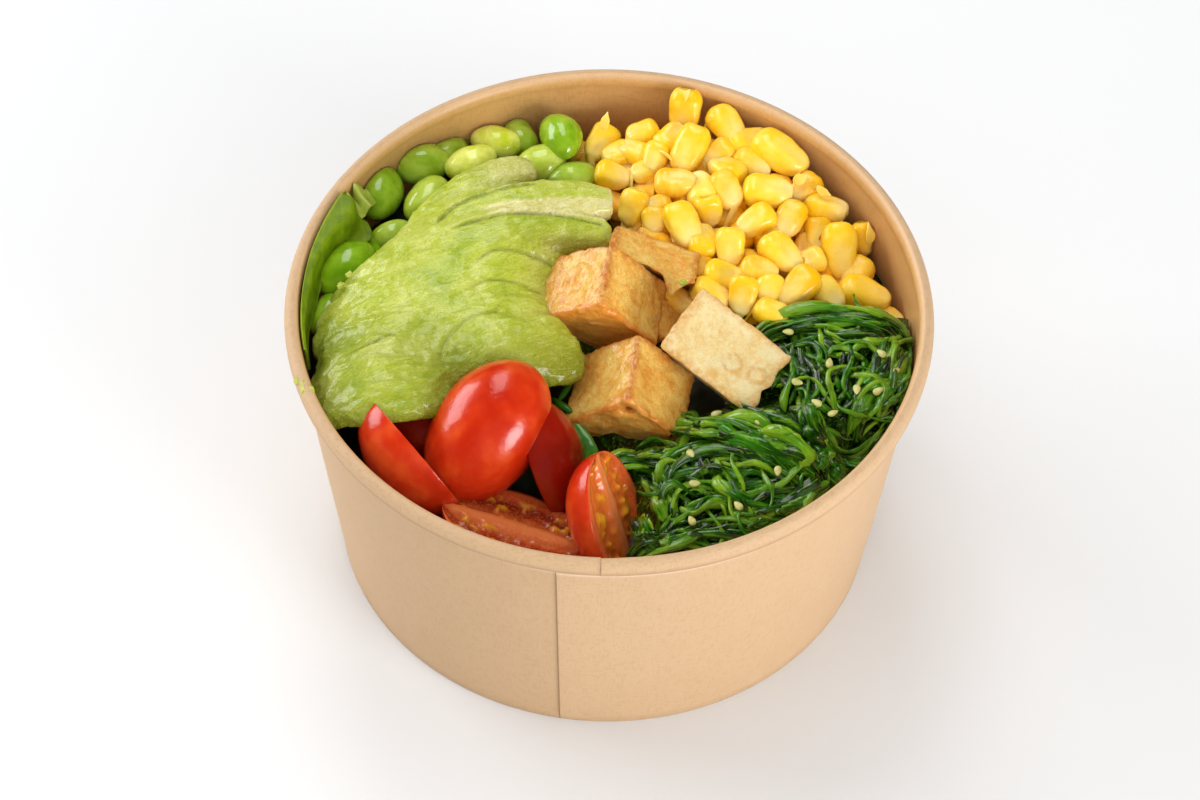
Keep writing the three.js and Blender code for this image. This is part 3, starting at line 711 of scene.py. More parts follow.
def avocado_shape():
    """The fanned half: slices that run together at the fat end and part towards their tips."""
    slices = [slice_shape(**values, crisp=index > 3) for index, values in enumerate(SLICES)]
    skin = dome_over(np.vstack([points for points, _, _ in slices[:5]]))
    parts = []
    for index, (points, faces, n) in enumerate(slices):
        if index < 5:
            together = 1 - 0.85 * smoothstep(points[:, 0], -22, -4) * (index == 4)
        else:
            parts_at = {5: -60, 6: -30}[index]
            together = 1 - smoothstep(points[:, 0], parts_at, parts_at + 18)
        upper = smoothstep(n[:, 2], -0.1, 0.45)
        moved = points.copy()
        moved[:, 2] += together * upper * np.clip(sampled(skin, points) - points[:, 2], 0, 9)
        parts.append((moved, faces, {}))
    points, quads = fused(joined(parts), 0.55)
    surface = np.vstack([part[0] for part in parts])
    tree = kdtree.KDTree(len(surface))
    for place, point in enumerate(surface):
        tree.insert(point, place)
    tree.balance()
    nearest = np.array([tree.find(point)[1] for point in points])
    index, vertex = np.divmod(nearest, len(parts[0][0]))
    n = slices[0][2][vertex]
    x, y = points[:, 0], points[:, 1]
    apart = smoothstep(x + 0.3 * y, -30, -10) * (index > 3)
    points = relaxed(points, quads, 0.6 * (1 - 0.85 * apart), 14)
    outward = normals_of(points, [quads])
    along = np.column_stack([0.5 * x + 0.25 * y, y - 0.25 * x, points[:, 2]])
    furrows = 1 - np.abs(layered(along * [0.45, 1, 1], 7.0, seed=3))
    folds = 1 - np.abs(layered(along * [0.4, 1, 1], 3.0, 2, seed=21))
    relief = 0.9 * (furrows**4 - 0.4) + 0.5 * layered(points, 9.0, 2, seed=12)
    relief = relief * (0.35 + 0.65 * smoothstep(y, 18, -12)) + 0.16 * layered(points, 1.6, 2, seed=8)
    relief += 0.3 * (folds**6 - 0.3)
    crease = np.zeros(len(points))
    for knots, deep in CREASES:
        away, place = from_line(points, knots)
        fade = smoothstep(place, 0, 0.25) * (outward[:, 2] > 0.1)
        relief -= deep * fade * (bell(away, 0.5) - 0.4 * bell(away - 1.5, 1.0))
        # painted shade: the crease mask darkens the colour along each crease
        crease = np.maximum(crease, fade * bell(away, 0.45) * (0.5 + 0.7 * deep))
    points = points + outward * relief[:, None]
    front = -outward[:, 1]
    away, place = from_line(points, CREAM)
    cut = (1 - smoothstep(away, 1.0 + 1.6 * place, 1.6 + 2.2 * place)) * smoothstep(place, 0, 0.2)
    cut = np.maximum(cut * (index >= 4), smoothstep(x, -34, -22) * smoothstep(front, 0.2, 0.5) * (index == 5))
    cut = np.maximum(cut, smoothstep(n[:, 0], 0.93, 0.98) * (index >= 5) * 0.7)
    cut = np.maximum(cut, 0.55 * smoothstep(x, -36, -26) * (index == 6))
    olive = 0.8 * smoothstep(x, -26, -10) * smoothstep(front, 0.0, 0.4) * (index == 4)
    # painted shade: the fat end darkens towards its low front
    low = smoothstep(points[:, 2], 83, 69) * smoothstep(y, 2, -16)
    # in the avocado this mix is only a riper olive tone
    ripe = 0.25 * smoothstep(x, -30, -12) * (1 - smoothstep(y, 16, 24)) * (1 - cut)
    values = {"cut": cut, "olive": olive, "crease": 0.7 * crease, "low": low, "ripe": ripe}
    return inside_bowl(points), [quads], values


def crumb(at, size, turn, seed):
    n, faces = ball(22, 18)
    points = n * np.array(size) / 2
    points += n * (0.22 * min(size) * layered(n * 3 + seed, 1.6, seed=seed))[:, None]
    return placed(points, at, turn), faces, {key: np.zeros(len(n)) for key in ("cut", "olive", "crease")}


# ---------------------------------------------------------------- tofu

# Of each cube the corner (+1, +1, +1) is the one turned up and outward.
TOFU = {
    "tofu_cube_1": {"at": (-1.9, 7, 68.7), "turn": (-98, 13, 37), "size": (16.8, 20.4, 22), "warm": 0.6},
    "tofu_cube_2": {
        "at": (25.6, -7.5, 67.2), "turn": (57.5, 169, -115), "size": (18.9, 11.5, 27.4), "tuck": 0.45,
        "marks": [((0.25, 0.9, -1), 1.5, -1.1), ((-0.4, 0.9, -1), 1.8, -0.6)],
        "rings": [((1.4, -2.8), 2.2), ((0.3, -9.0), 1.9)],
    },
    "tofu_cube_3": {
        "at": (5.2, -15.7, 61.5), "turn": (-97, 8, 42), "size": (18.8, 20.2, 19.6), "warm": 0.35,
        "marks": [((1, 0.76, 0.76), 1.6, -4.6), ((0.4, 0.95, 1), 2.6, -0.9)],
    },
    "tofu_cube_4": {
        "at": (8.5, 16.3, 68), "turn": (-11, -166, -167), "size": (21.5, 13.6, 13), "undercut": 13,
        "marks": [((0.1, 1, 1), 1.8, -1.2)],
        "tongue": (-6.2, 3.4, 5.5),
    },
    "tofu_cube_5": {"at": (14, 8, 61), "turn": (20, 10, 30), "size": (11, 10, 10)},
}
TOFU_EDGE, TOFU_HOLLOW = 1.2, 0.7  # how rounded the edges are, and how deep the sides have sunk
PINCH = -3  # a mark pushed in further than this gets painted shade round it, in the toasted brown of the crust


def cube_grid(sides):
    """Points and quads over a cube from -1 to 1, shared along its edges."""
    line = np.linspace(-1, 1, sides + 1)
    u, v = crossed(line, line)
    square = grid_faces(sides + 1, sides + 1)
    points, faces = [], []
    for axis in range(3):
        for sign in (-1, 1):
            side = np.empty((len(u), 3))
            side[:, axis], side[:, (axis + 1) % 3], side[:, (axis + 2) % 3] = sign, u, v
            faces.append((square if sign > 0 else square[:, ::-1]) + len(points) * len(u))
            points.append(side)
    merged, index = np.unique(np.round(np.vstack(points), 6), axis=0, return_inverse=True)
    return merged, index.reshape(-1)[np.vstack(faces)][:, ::-1]


def tofu_shape(at, turn, size, seed, rough, marks=(), rings=(), tuck=0, undercut=0, tongue=None, warm=0.0):
    """A fried cube: `tuck` narrows it away from +Y, and `undercut` takes its front back below its top.

    Each mark is (place, reach, push), each ring (place, radius) and the tongue (place, reach, length).
    """
    half = np.array(size) / 2
    cube, faces = cube_grid(44)
    cube = np.sign(cube) * np.abs(cube) ** 0.75
    point = np.empty_like(cube)
    for axis in range(3):
        second, third = cube[:, (axis + 1) % 3], cube[:, (axis + 2) % 3]
        hollow = np.where(np.abs(cube[:, axis]) > 0.999, TOFU_HOLLOW * (1 - second**2) * (1 - third**2), 0)
        point[:, axis] = cube[:, axis] * (half[axis] - hollow)
    core = np.clip(point, TOFU_EDGE - half, half - TOFU_EDGE)
    out = point - core
    rounded = core + unit(out, 1e-9) * np.minimum(np.linalg.norm(out, axis=1, keepdims=True), TOFU_EDGE)
    dent_shade = np.zeros(len(rounded))
    for place, reach, push in marks:
        centre = np.array(place) * half
        near = bell(np.linalg.norm(rounded - centre, axis=1), reach)
        rounded += (centre / np.linalg.norm(centre))[None, :] * (push * near)[:, None]
        dent_shade = np.maximum(dent_shade, near**2 * (push < PINCH))
    closeness = np.sort(np.abs(rounded) / half, axis=1)[:, 1]
    # the edge value holds the toasted edges and the painted shade of deep dents
    edges = np.maximum(smoothstep(closeness, 0.72, 0.98), dent_shade)
    crumple = 0.4 * layered(rounded, 4.5, seed=seed) + 0.14 * layered(rounded, 1.1, 2, seed + 9)
    crumple += edges * 0.3 * noise(rounded, 1.8, seed + 5) + 0.07 * noise(rounded, 0.6, seed + 7)
    rounded += normals_of(rounded, [faces]) * (crumple * rough)[:, None]
    blister = smoothstep(noise(rounded, 4.0, seed + 3), 0.45, 0.8) * (1 - edges)
    for (x, z), radius in rings:
        away = np.hypot(rounded[:, 0] - x, rounded[:, 2] - z)
        ring = bell(away - radius, 0.5) * (rounded[:, 1] > 0.6 * half[1])
        rounded[:, 1] += 0.45 * ring
        edges = np.maximum(edges, 0.9 * ring)
    lower = np.clip(1 - rounded / half, 0, 2) / 2
    rounded[:, [0, 2]] *= 1 - tuck * lower[:, 1:2]
    rounded[:, 1] -= undercut * lower[:, 2] ** 0.8 * smoothstep(rounded[:, 1], -half[1], half[1])
    if tongue:
        place, reach, length = tongue
        lip = smoothstep(rounded[:, 1], 0, half[1]) * smoothstep(rounded[:, 2], 0, half[2])
        torn = length * lip * np.clip(1 - np.abs(rounded[:, 0] - place) / reach, 0, 1)
        rounded[:, 1] += torn + 0.7 * lip * noise(rounded, 1.6, seed + 21)
        rounded[:, 2] -= 0.35 * torn
    # painted light: the underside (local +X side) is lightened to orange, standing in for bounced light
    below = warm * smoothstep(rounded[:, 0], 0.75 * half[0], 0.95 * half[0])
    return placed(rounded, at, turn), [faces], {"edge": edges, "blister": blister, "below": below}


# ---------------------------------------------------------------- tomatoes

TOMATOES = {
    "tomato_piece_1": {"at": (-27, -31.5, 68), "turn": (49, -34, 17), "size": (36, 25, 25), "sill": 4},
    "tomato_piece_2": {"at": (-42.8, -36.7, 66), "turn": (-38, 33, 76), "size": (31.5, 22.5, 22.5),
        "opening": 100},
    "tomato_piece_3": {"at": (2.9, -51.6, 63.6), "turn": (-59, 52, 141), "size": (31, 23.4, 22), "gold": 0.8},
    # pieces 4 and 6 are darkened red: partly deeper skin, partly painted shade
    "tomato_piece_4": {"at": (-14.8, -34, 62), "turn": (-63, 44, -58), "size": (29, 20, 20), "ripe": 0.85},
    "tomato_piece_5": {"at": (-20.1, -52, 60), "turn": (-13, 10, 169), "size": (34, 22, 18)},
    "tomato_piece_6": {"at": (-41.6, -25.4, 60), "turn": (-7, 5, 28), "size": (25, 18, 18), "ripe": 0.8},
}


def tomato_shape(at, turn, size, seed, opening=180, sill=0, ripe=0.0, gold=0.0):
    """A piece between two cuts that meet on the long axis, with wet seeds on the cuts."""
    long, wide, high = (extent / 2 for extent in size)
    half = math.radians(opening / 2)
    limit = math.atan2(math.sin(half) / wide, math.cos(half) / high)
    if sill:
        limit = math.pi - math.acos(sill / high)
    skin_angle = np.linspace(-limit, limit, 56)
    skin = np.column_stack([wide * np.sin(skin_angle), high * np.cos(skin_angle)])
    inward = np.linspace(1, 0, 22)[1:-1, None]
    apex = np.array([[0.0, -sill]])
    right, left = (apex + (skin[end] - apex) * inward for end in (-1, 0))
    loop = np.vstack([skin, right, apex, left[::-1]])
    depth = np.concatenate([np.zeros(len(skin)), 1 - inward[:, 0], [1.0], 1 - inward[::-1, 0]])
    angles = np.linspace(0, np.pi, 82)[1:-1]
    rows, around = len(angles), len(loop)
    from_end = np.repeat(np.sin(angles), around)
    sections = [from_end * np.tile(loop[:, k], rows) for k in (0, 1)]
    points = np.column_stack([np.repeat(-long * np.cos(angles), around), *sections])
    depth = np.tile(depth, rows)
    cut = (depth > 0).astype(float)
    pulp = smoothstep(depth, 0.2, 0.34) * (1 - smoothstep(depth, 0.72, 0.9)) * smoothstep(from_end, 0.35, 0.6)
    seeds = smoothstep(noise(points, 1.5, seed + 4), 0.25, 0.55) * pulp
    gel = 0.4 * layered(points, 1.5, 2, seed) * pulp
    points[:, 2] += cut * (0.9 * pulp - 0.8 * seeds + gel + 0.1 * noise(points, 1.2, seed + 2))
    swell = 0.18 * layered(points, 9.0, 2, seed + 7) * (1 - cut)
    points = points + unit(points, 1e-9) * swell[:, None]
    points = inside_bowl(placed(np.vstack([points, [[-long, 0, 0], [long, 0, 0]]]), at, turn))
    values = {"cut": cut, "depth": depth, "seed": seeds, "gold": gold * pulp}
    values = {key: np.append(value, [0.0, 0.0]) for key, value in values.items()}
    return points, tube_faces(rows, around, inward=True), values | {"ripe": np.full(len(points), ripe)}


# ---------------------------------------------------------------- beans

BEAN_SIZE = (13.5, 9.6, 8.6)
# x, y, z, heading, tilt, roll, scale and how pale (0 to 1)
BEANS = [
    (-55.6, 42.2, 65.5, 92, 0, 10, 1.2, 0.12), (-46.8, 52.2, 65, -5, 0, 0, 1.16, 0.25),
    (-41, 56.3, 63, 25, 0, 0, 1, 0.25), (-43.8, 39.4, 66, 57, 0, 0, 1.08, 0.5),
    (-34, 51.3, 66, 25, 0, 0, 1, 1.0), (-28.4, 60.1, 64, -13, 0, 0, 0.95, 1.0),
    (-22.7, 63.1, 63, -66, 0, 0, 0.85, 0.3), (-17.3, 53.1, 65, 25, 0, 0, 1, 0.6),
    (-12.7, 58.9, 68, 108, 10, 0, 1.05, 0.1), (-9.8, 49.4, 64, 13, 0, 0, 0.9, 0.3),
    (-51.8, 28, 66, 27, 0, 0, 0.8, 0.35), (-61.7, 16.2, 67.4, 49, 0, 0, 1.28, 0.05),
    (-58.5, 25.3, 64, -57, 0, 0, 1, 0.0), (-65.6, 4.2, 65, 66, 0, 0, 0.9, 0.1),
]


def bean_shape(x, y, z, heading, tilt, roll, scale, pale, seed):
    length, width, height = (extent * scale / 2 for extent in BEAN_SIZE)
    n, faces = ball(40, 32)
    full = 1 + 0.06 * n[:, 0]
    long = length * n[:, 0] * (1 - 0.03 * np.abs(n[:, 1]))
    bent = width * n[:, 1] * full + 0.8 * (n[:, 0] ** 2 - 0.3)
    points = roughened(np.column_stack([long, bent, height * n[:, 2] * full]), faces, 0.16, 4.0, seed)
    scar = 0.8 * bell(n[:, 1] + 0.97, 0.05) * (np.abs(n[:, 0]) < 0.3)
    values = {"tone": np.full(len(points), pale), "edge": scar}
    return inside_bowl(placed(points, (x, y, z), (heading, tilt, roll))), faces, values


# ---------------------------------------------------------------- heaps

HEAP_FLOOR = 54


def mound(x, y, at, reach):
    """A smooth round hill, 1 at its top."""
    return np.exp(-(((x - at[0]) / reach[0]) ** 2) - ((y - at[1]) / reach[1]) ** 2)


def heap_core(bounds, top, step):
    """A closed body from a level floor up to a surface, held inside the bowl."""
    xs, ys = (np.arange(low, high + step, step) for low, high in bounds)
    x, y = crossed(xs, ys)
    held = np.minimum(1, (MOUTH - 1.0) / np.maximum(np.hypot(x, y), 1e-6))
    x, y = x * held, y * held
    upper = np.column_stack([x, y, np.maximum(top(x, y), HEAP_FLOOR + 1)])
    lower = np.column_stack([x * 0.93, y * 0.93, np.full(len(x), float(HEAP_FLOOR))])
    sheet, count = grid_faces(len(xs), len(ys)), len(x)
    edge, after = sheet_edge(len(xs), len(ys))
    wall = np.stack([after, after + count, edge + count, edge], axis=1)
    return inside_bowl(np.vstack([upper, lower]), 0.6), [np.vstack([sheet[:, ::-1], sheet + count, wall])]


# ---------------------------------------------------------------- sweetcorn

CORN_BOUNDS, KERNEL_SPACING = ((-18, 74), (3, 74)), 8.4
# Kernels that stand out: x, y, lift above the surface, heading, tilt, roll and length.
KERNELS = [
    (17, 65, 0.4, 80, -55, 0, 11.5), (27, 61, 0.5, 125, -10, 10, 10.5), (40, 53, 0.8, 145, -5, 10, 14.5),
    (18, 53, 1, 65, -25, 0, 12), (7, 60, 0, 15, -10, 0, 8), (-3, 60, 0.5, 60, -15, 20, 9.5),
    (1, 55, 0.3, 25, 0, 0, 7.5), (10, 52, -0.5, 75, -10, 0, 8), (25, 53, -0.8, 35, -10, 0, 8),
    (33, 50, -1, 145, -10, 0, 9), (0, 49, 0.3, 165, -10, 0, 8.5), (46, 45, 0.3, 45, -20, 0, 8),
    (15, 43, 0.5, 175, 10, 0, 10), (27, 41, 0.8, 115, -10, 0, 10), (37, 41, 0.5, 175, 0, 0, 12),
    (51, 40, 0.8, 165, 0, 20, 10), (5, 38, 0.5, 65, -50, 0, 9), (23, 36, -0.5, 115, -60, 0, 7.5),
    (60, 34, 0.5, 100, -50, 60, 8), (42, 34, 0.5, 65, -15, 0, 9.5), (34, 32, 0.5, 35, -10, 0, 9.5),
    (17, 30, 0.8, 115, -10, 0, 12), (54, 28, 1, 95, -35, 0, 13), (28, 24, 0.8, 90, -40, 0, 9.5),
    (58, 23, -0.3, 65, -10, 0, 9.5), (47, 24, -0.5, 25, 0, 0, 7), (40, 23, 0.8, 135, -10, 10, 11),
    (35, 18, -0.3, 160, 0, 0, 9), (27, 16, -0.8, 165, -10, 0, 10.5), (60, 17, 0.8, 160, -5, 0, 12.5),
    (51, 15, -0.5, 125, -10, 0, 9), (44, 14, 0.8, 50, -10, 0, 11.5), (31, 10, 0.8, 80, -45, 0, 9),
    (65, 12, 0, 155, 0, 0, 8.5), (5, 55, 0, -25, 0, 0, 7.5), (7, 49, -0.8, 25, 0, 0, 5.5),
    (49, 33, -1.5, 90, -10, 0, 8.5), (37, 13, -1, 80, -10, 0, 8), (38, 6, -0.5, 160, 0, 0, 8.5),
    (16, 11, -3, 145, 0, 0, 8), (10, 34, -2, 90, -10, 0, 7), (11, 38, -1.5, 15, 0, 0, 6),
    (21, 20, -2, 65, -10, 0, 6), (37, 30, -2.5, 115, 0, 0, 8),
]


def corn_surface(x, y):
    return 70 + 0.05 * (y - 45) - 0.4 * np.maximum(0, 12 - x) - 0.34 * np.maximum(0, x - 38)


def corn_depth(x, y):
    """How far inside the heap's edge a place is."""
    return np.minimum((x + 16.5) * 0.82 + (y - 62) * 0.57, y - 5)


def corn_kernels():
    """The standing kernels, then lower ones in staggered rows between and under them."""
    random = seeded(11)
    kernels, under = list(KERNELS), []
    (x0, x1), (y0, y1) = CORN_BOUNDS
    row_gap = 0.87 * KERNEL_SPACING
    for row in range(int((y1 - y0) / row_gap)):
        for column in range(int((x1 - x0) / KERNEL_SPACING)):
            x = x0 + KERNEL_SPACING * (column + (row % 2) / 2 + 0.5 * next(random))
            y = y0 + row_gap * (row + 0.5 * next(random))
            lift = 1.4 * next(random) - 1.4
            turn = (360 * next(random), 40 * next(random) - 25, 50 * next(random) - 25)
            length = 8.5 + 2.5 * next(random)
            if math.hypot(x, y) < 66 and corn_depth(x, y) > 2:
                if all(math.hypot(k[0] - x, k[1] - y) > 0.66 * KERNEL_SPACING for k in kernels):
                    kernels.append((x, y, lift, *turn, length))
    for row in range(9):
        for column in range(11):
            x = -12 + 7.6 * (column + (row % 2) / 2 + 0.4 * next(random))
            y = 8 + 6.8 * (row + 0.4 * next(random))
            turn = (360 * next(random), 50 * next(random) - 25, 60 * next(random) - 30)
            if math.hypot(x, y) < 64 and corn_depth(x, y) > 2:
                under.append((x, y, -3.6 - next(random), *turn, 9 + 2 * next(random)))
    return kernels + under


def kernel_shape(x, y, lift, heading, tilt, roll, length, tone, pale, seed):
    """A kernel: broad at the crown (+X), narrowing to a pale, torn tip."""
    n, faces = ball(28, 22)
    length = 1.06 * length
    wide, high = (3.8 + 0.44 * length) / 2, (3.3 + 0.34 * length) / 2
    along = n[:, 0]
    ring = np.maximum(np.hypot(n[:, 1], n[:, 2]), 1e-6)
    profile = np.clip(1 - np.abs(along) ** 3.0, 0, 1) ** 0.42 * (0.84 + 0.16 * along)
    spin_y, spin_z = n[:, 1] / ring, n[:, 2] / ring
    # Known fault: this divides by zero at the two poles.
    square = (np.abs(spin_y) ** 2.7 + np.abs(spin_z) ** 2.7) ** (-1 / 2.7)
    long = length / 2 * np.sign(along) * np.abs(along) ** 0.9
    points = np.column_stack([long, wide * spin_y * square * profile, high * spin_z * square * profile])
    germ = bell(spin_y, 0.45) * (spin_z > 0) * smoothstep(0.55 - along, 0, 0.8)
    points[:, 2] -= 0.55 * germ * smoothstep(along, -1.0, -0.6)
    points[:, 0] += 0.1 * bell(ring, 0.35) * (along < 0)
    points = roughened(points, faces, 0.3, 3.4, seed, 37 * seed)
    tip = np.clip(pale * (1 - smoothstep(along, -0.9, 0.1)) + 0.3 * germ, 0, 1)
    at = (x, y, corn_surface(x, y) + lift)
    return placed(points, at, (heading, tilt, roll)), faces, {"tone": np.full(len(points), tone), "tip": tip}


# Torn skins and flaps on the kernels: place, turn and size.
FLAPS = [
    ((17.0, 65.2, 76.6), (20, -75, 0), (4.6, 2.6, 0.9)),
    ((-2.2, 59.6, 73.4), (70, -50, 0), (4.6, 2.6, 0.9)),
    ((61.0, 31.0, 67.6), (100, -60, 20), (6.0, 2.6, 0.9)),
    ((44.6, 44.6, 71.2), (20, -20, 40), (4.0, 3.0, 1.0)),
    ((50.0, 41.0, 71.0), (-30, 10, 60), (4.2, 2.4, 0.9)),
    ((12.6, 50.5, 72.0), (140, -10, 60), (4.4, 2.2, 0.9)),
]


def flap_shape(at, turn, size, seed):
    """A thin curled skin that narrows to a ragged point at +X."""
    n, faces = ball(24, 20)
    points = n * np.array(size) / 2
    narrow = 1 - 0.75 * smoothstep(n[:, 0], -0.2, 1.0)
    points[:, 1] *= narrow * (1 + 0.3 * noise(points, 1.2, seed))
    points[:, 2] += 0.25 * points[:, 1] ** 2 - 0.06 * points[:, 0] ** 2
    values = {"tone": np.full(len(points), 0.6), "tip": 0.3 + 0.4 * smoothstep(n[:, 0], 0.3, 1)}
    return placed(points, at, turn), faces, values


def corn_shape():
    random = seeded(77)
    parts = []
    for index, kernel in enumerate(corn_kernels()):
        tone = 0.25 + 0.6 * next(random) if kernel[2] > -3 else 0.1 * next(random)
        pale = 0.1 + 0.8 * next(random) ** 1.5
        parts.append(kernel_shape(*kernel, tone, pale, index))
    parts += [flap_shape(*flap, index) for index, flap in enumerate(FLAPS)]
    points, faces, values = joined(parts)
    return inside_bowl(points), faces, values


def corn_core():
    def top(x, y):
        slope = smoothstep(corn_depth(x, y), -4, 4)
        along_wall = np.maximum(0, np.hypot(x, y) - 62) * 0.4
        return corn_surface(x, y) - 7.5 - along_wall - 10 * (1 - slope)

    points, faces = heap_core(CORN_BOUNDS, top, 1.6)
    return points, faces, {key: np.zeros(len(points)) for key in ("tone", "tip")}


# ---------------------------------------------------------------- seaweed

# The locks that the strands run in: a line across the heap, how many strands, how far they
# spread, how wide they are, how high they lie and how bright they are.
LOCKS = [
    ([(30, -4), (38, 0.5), (47, 2.5), (56, 2), (65, 1), (70, -2)], 20, 6.5, 1.9, 1.2, 0.62),
    ([(51, 5), (50, -1), (54, -5), (60, -4)], 8, 4, 1.5, 1.6, 0.6),
    ([(36, 2), (41, -6), (44, -14), (45, -22)], 16, 8, 1.8, 0.2, 0.3),
    ([(70, 3), (67, -8), (62, -17), (54, -27)], 18, 8, 2.0, 1.4, 0.62),
    ([(70, -4), (70, -14), (66, -24), (60, -31)], 18, 8, 1.8, 0.6, 0.42),
    ([(59, 0), (58, -9), (55, -18), (50, -25)], 16, 10, 1.8, 0.4, 0.4),
    ([(46, -15), (46, -24), (50, -31), (58, -31), (66, -25)], 14, 4, 1.6, 1.2, 0.66),
    ([(19, -22), (28, -25), (38, -30), (47, -38)], 20, 8, 2.2, 1.6, 0.6),
    ([(24, -30), (33, -31), (42, -35), (50, -41)], 16, 7, 2.8, 1.9, 0.8),
    ([(13, -47), (15, -40), (22, -35), (31, -35), (40, -38), (49, -43)], 16, 6, 2.0, 1.3, 0.66),
    ([(15, -46), (23, -44), (32, -46), (41, -44)], 14, 6, 2.4, 0.8, 0.55),
    ([(43, -27), (48, -32), (51, -38), (53, -43)], 10, 4, 2.4, 1.8, 0.5),
    ([(27, -54), (35, -51), (45, -47), (53, -42)], 20, 8, 2.4, 1.0, 0.6),
    ([(9, -62), (17, -58), (27, -57), (37, -55), (45, -50)], 20, 8, 1.9, 0.4, 0.5),
    ([(-3, -38), (5, -36), (13, -35), (21, -33)], 14, 4, 2.4, 0.8, 0.6),
    ([(11, -37), (14, -45), (16, -53), (14, -61)], 14, 4.5, 1.8, 0.0, 0.5),
    ([(8, -50), (9.5, -55), (11, -59), (15, -62)], 10, 3, 1.8, 0.6, 0.5),
    ([(4, -64), (10, -60), (18, -57), (27, -53)], 14, 4, 1.8, 1.2, 0.5),
    ([(15, -23), (21, -27), (29, -31), (38, -35)], 14, 5, 2.0, 3.4, 0.6),
    ([(5, -29), (13, -33), (20, -40), (24, -50)], 14, 8, 1.8, 0.0, 0.4),
]
SEEDS = [
    (50.8, -10.9), (62.8, -7.6), (61.9, -18.5), (47.7, -22.8), (51.5, -25.0), (56.9, -19.0), (25.1, -22.7),
    (38.9, -41.0), (20.2, -44.7), (19.6, -54.3), (19.2, -36.2), (41.4, -1.1), (43.4, -16.5), (30.0, -50.0),
    (66.0, -12.0), (35.0, -28.0),
]
STRAND_POINTS = 24
# Where the heap sinks in: how deep, where and how far.
HOLLOWS = [(7, (56, -31), (7, 5)), (11, (10, -8), (20, 20)), (5, (27, -11), (11, 11)), (5, (6, -29), (12, 6))]


def seaweed_surface(x, y):
    to_front = np.maximum(0, -y - 25) * 0.15
    surface = 69 - to_front - np.maximum(0, np.hypot(x, y) - 60) * 0.2
    for depth, at, reach in HOLLOWS:
        surface = surface - depth * mound(x, y, at, reach)
    return surface


def seaweed_depth(x, y):
    """How far inside the heap's left edge a place is."""
    return x * 0.92 + (y + 34) * 0.4


def strand(line, width, thick, tone, twist, random):
    """A wet strand along a line: an oval tube, thinner at its ends."""
    count, around = len(line), 6
    # Known fault: this divides by zero where a line's points repeat.
    forward = unit(np.gradient(line, axis=0))
    side = unit(np.cross(UP, forward), 1e-6)
    up = np.cross(forward, side)
    along = np.linspace(0, 1, count)
    roll = twist + 0.8 * np.sin(3 * along + twist)
    spin = full_turn(around)
    end = np.sqrt(np.clip(1 - np.abs(2 * along - 1) ** 7, 0.02, 1))
    swell = end * (1 + 0.25 * np.sin(9 * along + 6 * next(random)))
    across = np.cos(spin)[None, :] * (width / 2 * swell)[:, None]
    over = np.sin(spin)[None, :] * (thick / 2 * swell)[:, None]
    c, s = np.cos(roll)[:, None], np.sin(roll)[:, None]
    sideways = side[:, None, :] * (across * c - over * s)[..., None]
    rings = line[:, None, :] + sideways + up[:, None, :] * (across * s + over * c)[..., None]
    tips = np.vstack([line[0] - forward[0] * 0.2, line[-1] + forward[-1] * 0.2])
    tones = np.repeat(tone + 0.12 * np.sin(7 * along + twist), around)
    length = np.linalg.norm(np.diff(line, axis=0), axis=1).sum()
    values = {
        "tone": np.clip(np.append(tones, [tone, tone]), 0, 1),
        "across": np.append(2.2 * (across + over).ravel() + 9 * twist, [9 * twist, 9 * twist]),
        "along": np.append(np.repeat(0.22 * length * along, around), [0, 0.22 * length]),
    }
    return np.vstack([rings.reshape(-1, 3), tips]), tube_faces(count, around), values


def strand_line(knots, spread, height, random):
    """One strand's path beside a lock's line, rising in the lock's middle and diving in at its ends."""
    line = curve_through([(x, y, 0) for x, y in knots], STRAND_POINTS)
    forward = unit(np.gradient(line, axis=0))
    side = np.column_stack([-forward[:, 1], forward[:, 0]])
    offset = next(random) + next(random) - 1
    phase, rate = 6.28 * next(random), 4 + 8 * next(random)
    along = np.linspace(0, 1, STRAND_POINTS)
    slant = 0.5 * (next(random) - 0.5) * (2 * along - 1)
    drift = spread * (0.8 * offset + slant + 0.17 * np.sin(phase + rate * along))
    line[:, :2] += side * drift[:, None]
    crown = height * (1 - offset**2) - 2.6 * next(random) + 0.7 * np.sin(phase * 2 + 1.3 * rate * along)
    dive = 3.5 * np.abs(2 * along - 1) ** 6 * (0.4 + next(random))
    line[:, 2] = seaweed_surface(line[:, 0], line[:, 1]) + crown - dive
    start, stop = 0.45 * next(random), 1 - 0.45 * next(random)
    line = curve_through(line, 90)[int(90 * start) : int(90 * stop)]
    return inside_bowl(line[np.linspace(0, len(line) - 1, STRAND_POINTS).astype(int)], 1.2)


def curl_line(random):
    """The path of a short loose strand that curls across the locks, clear of the tofu."""
    while True:
        x, y = -6 + 78 * next(random), -68 + 76 * next(random)
        clear = math.hypot(x - 24, y + 9) > 20 and math.hypot(x - 5, y + 16) > 18
        if clear and math.hypot(x, y) < 64 and seaweed_depth(x - 9, y) > 2 and y < 0:
            break
    heading, bend = 6.28 * next(random), 5 * (next(random) - 0.5)
    reach = 9 + 14 * next(random)
    along = np.linspace(0, 1, STRAND_POINTS)
    turn = heading + bend * along + 0.5 * np.sin(7 * along + heading)
    steps = reach / STRAND_POINTS * np.column_stack([np.cos(turn), np.sin(turn)])
    flat = np.array([x, y]) + np.cumsum(steps, axis=0)
    arch = 1.8 * np.sin(np.pi * along) ** 0.5 - 1.4 + 0.4 * np.sin(9 * along + heading)
    height = seaweed_surface(flat[:, 0], flat[:, 1]) + arch + 1.2 * next(random)
    return inside_bowl(np.column_stack([flat, height]), 1.2)


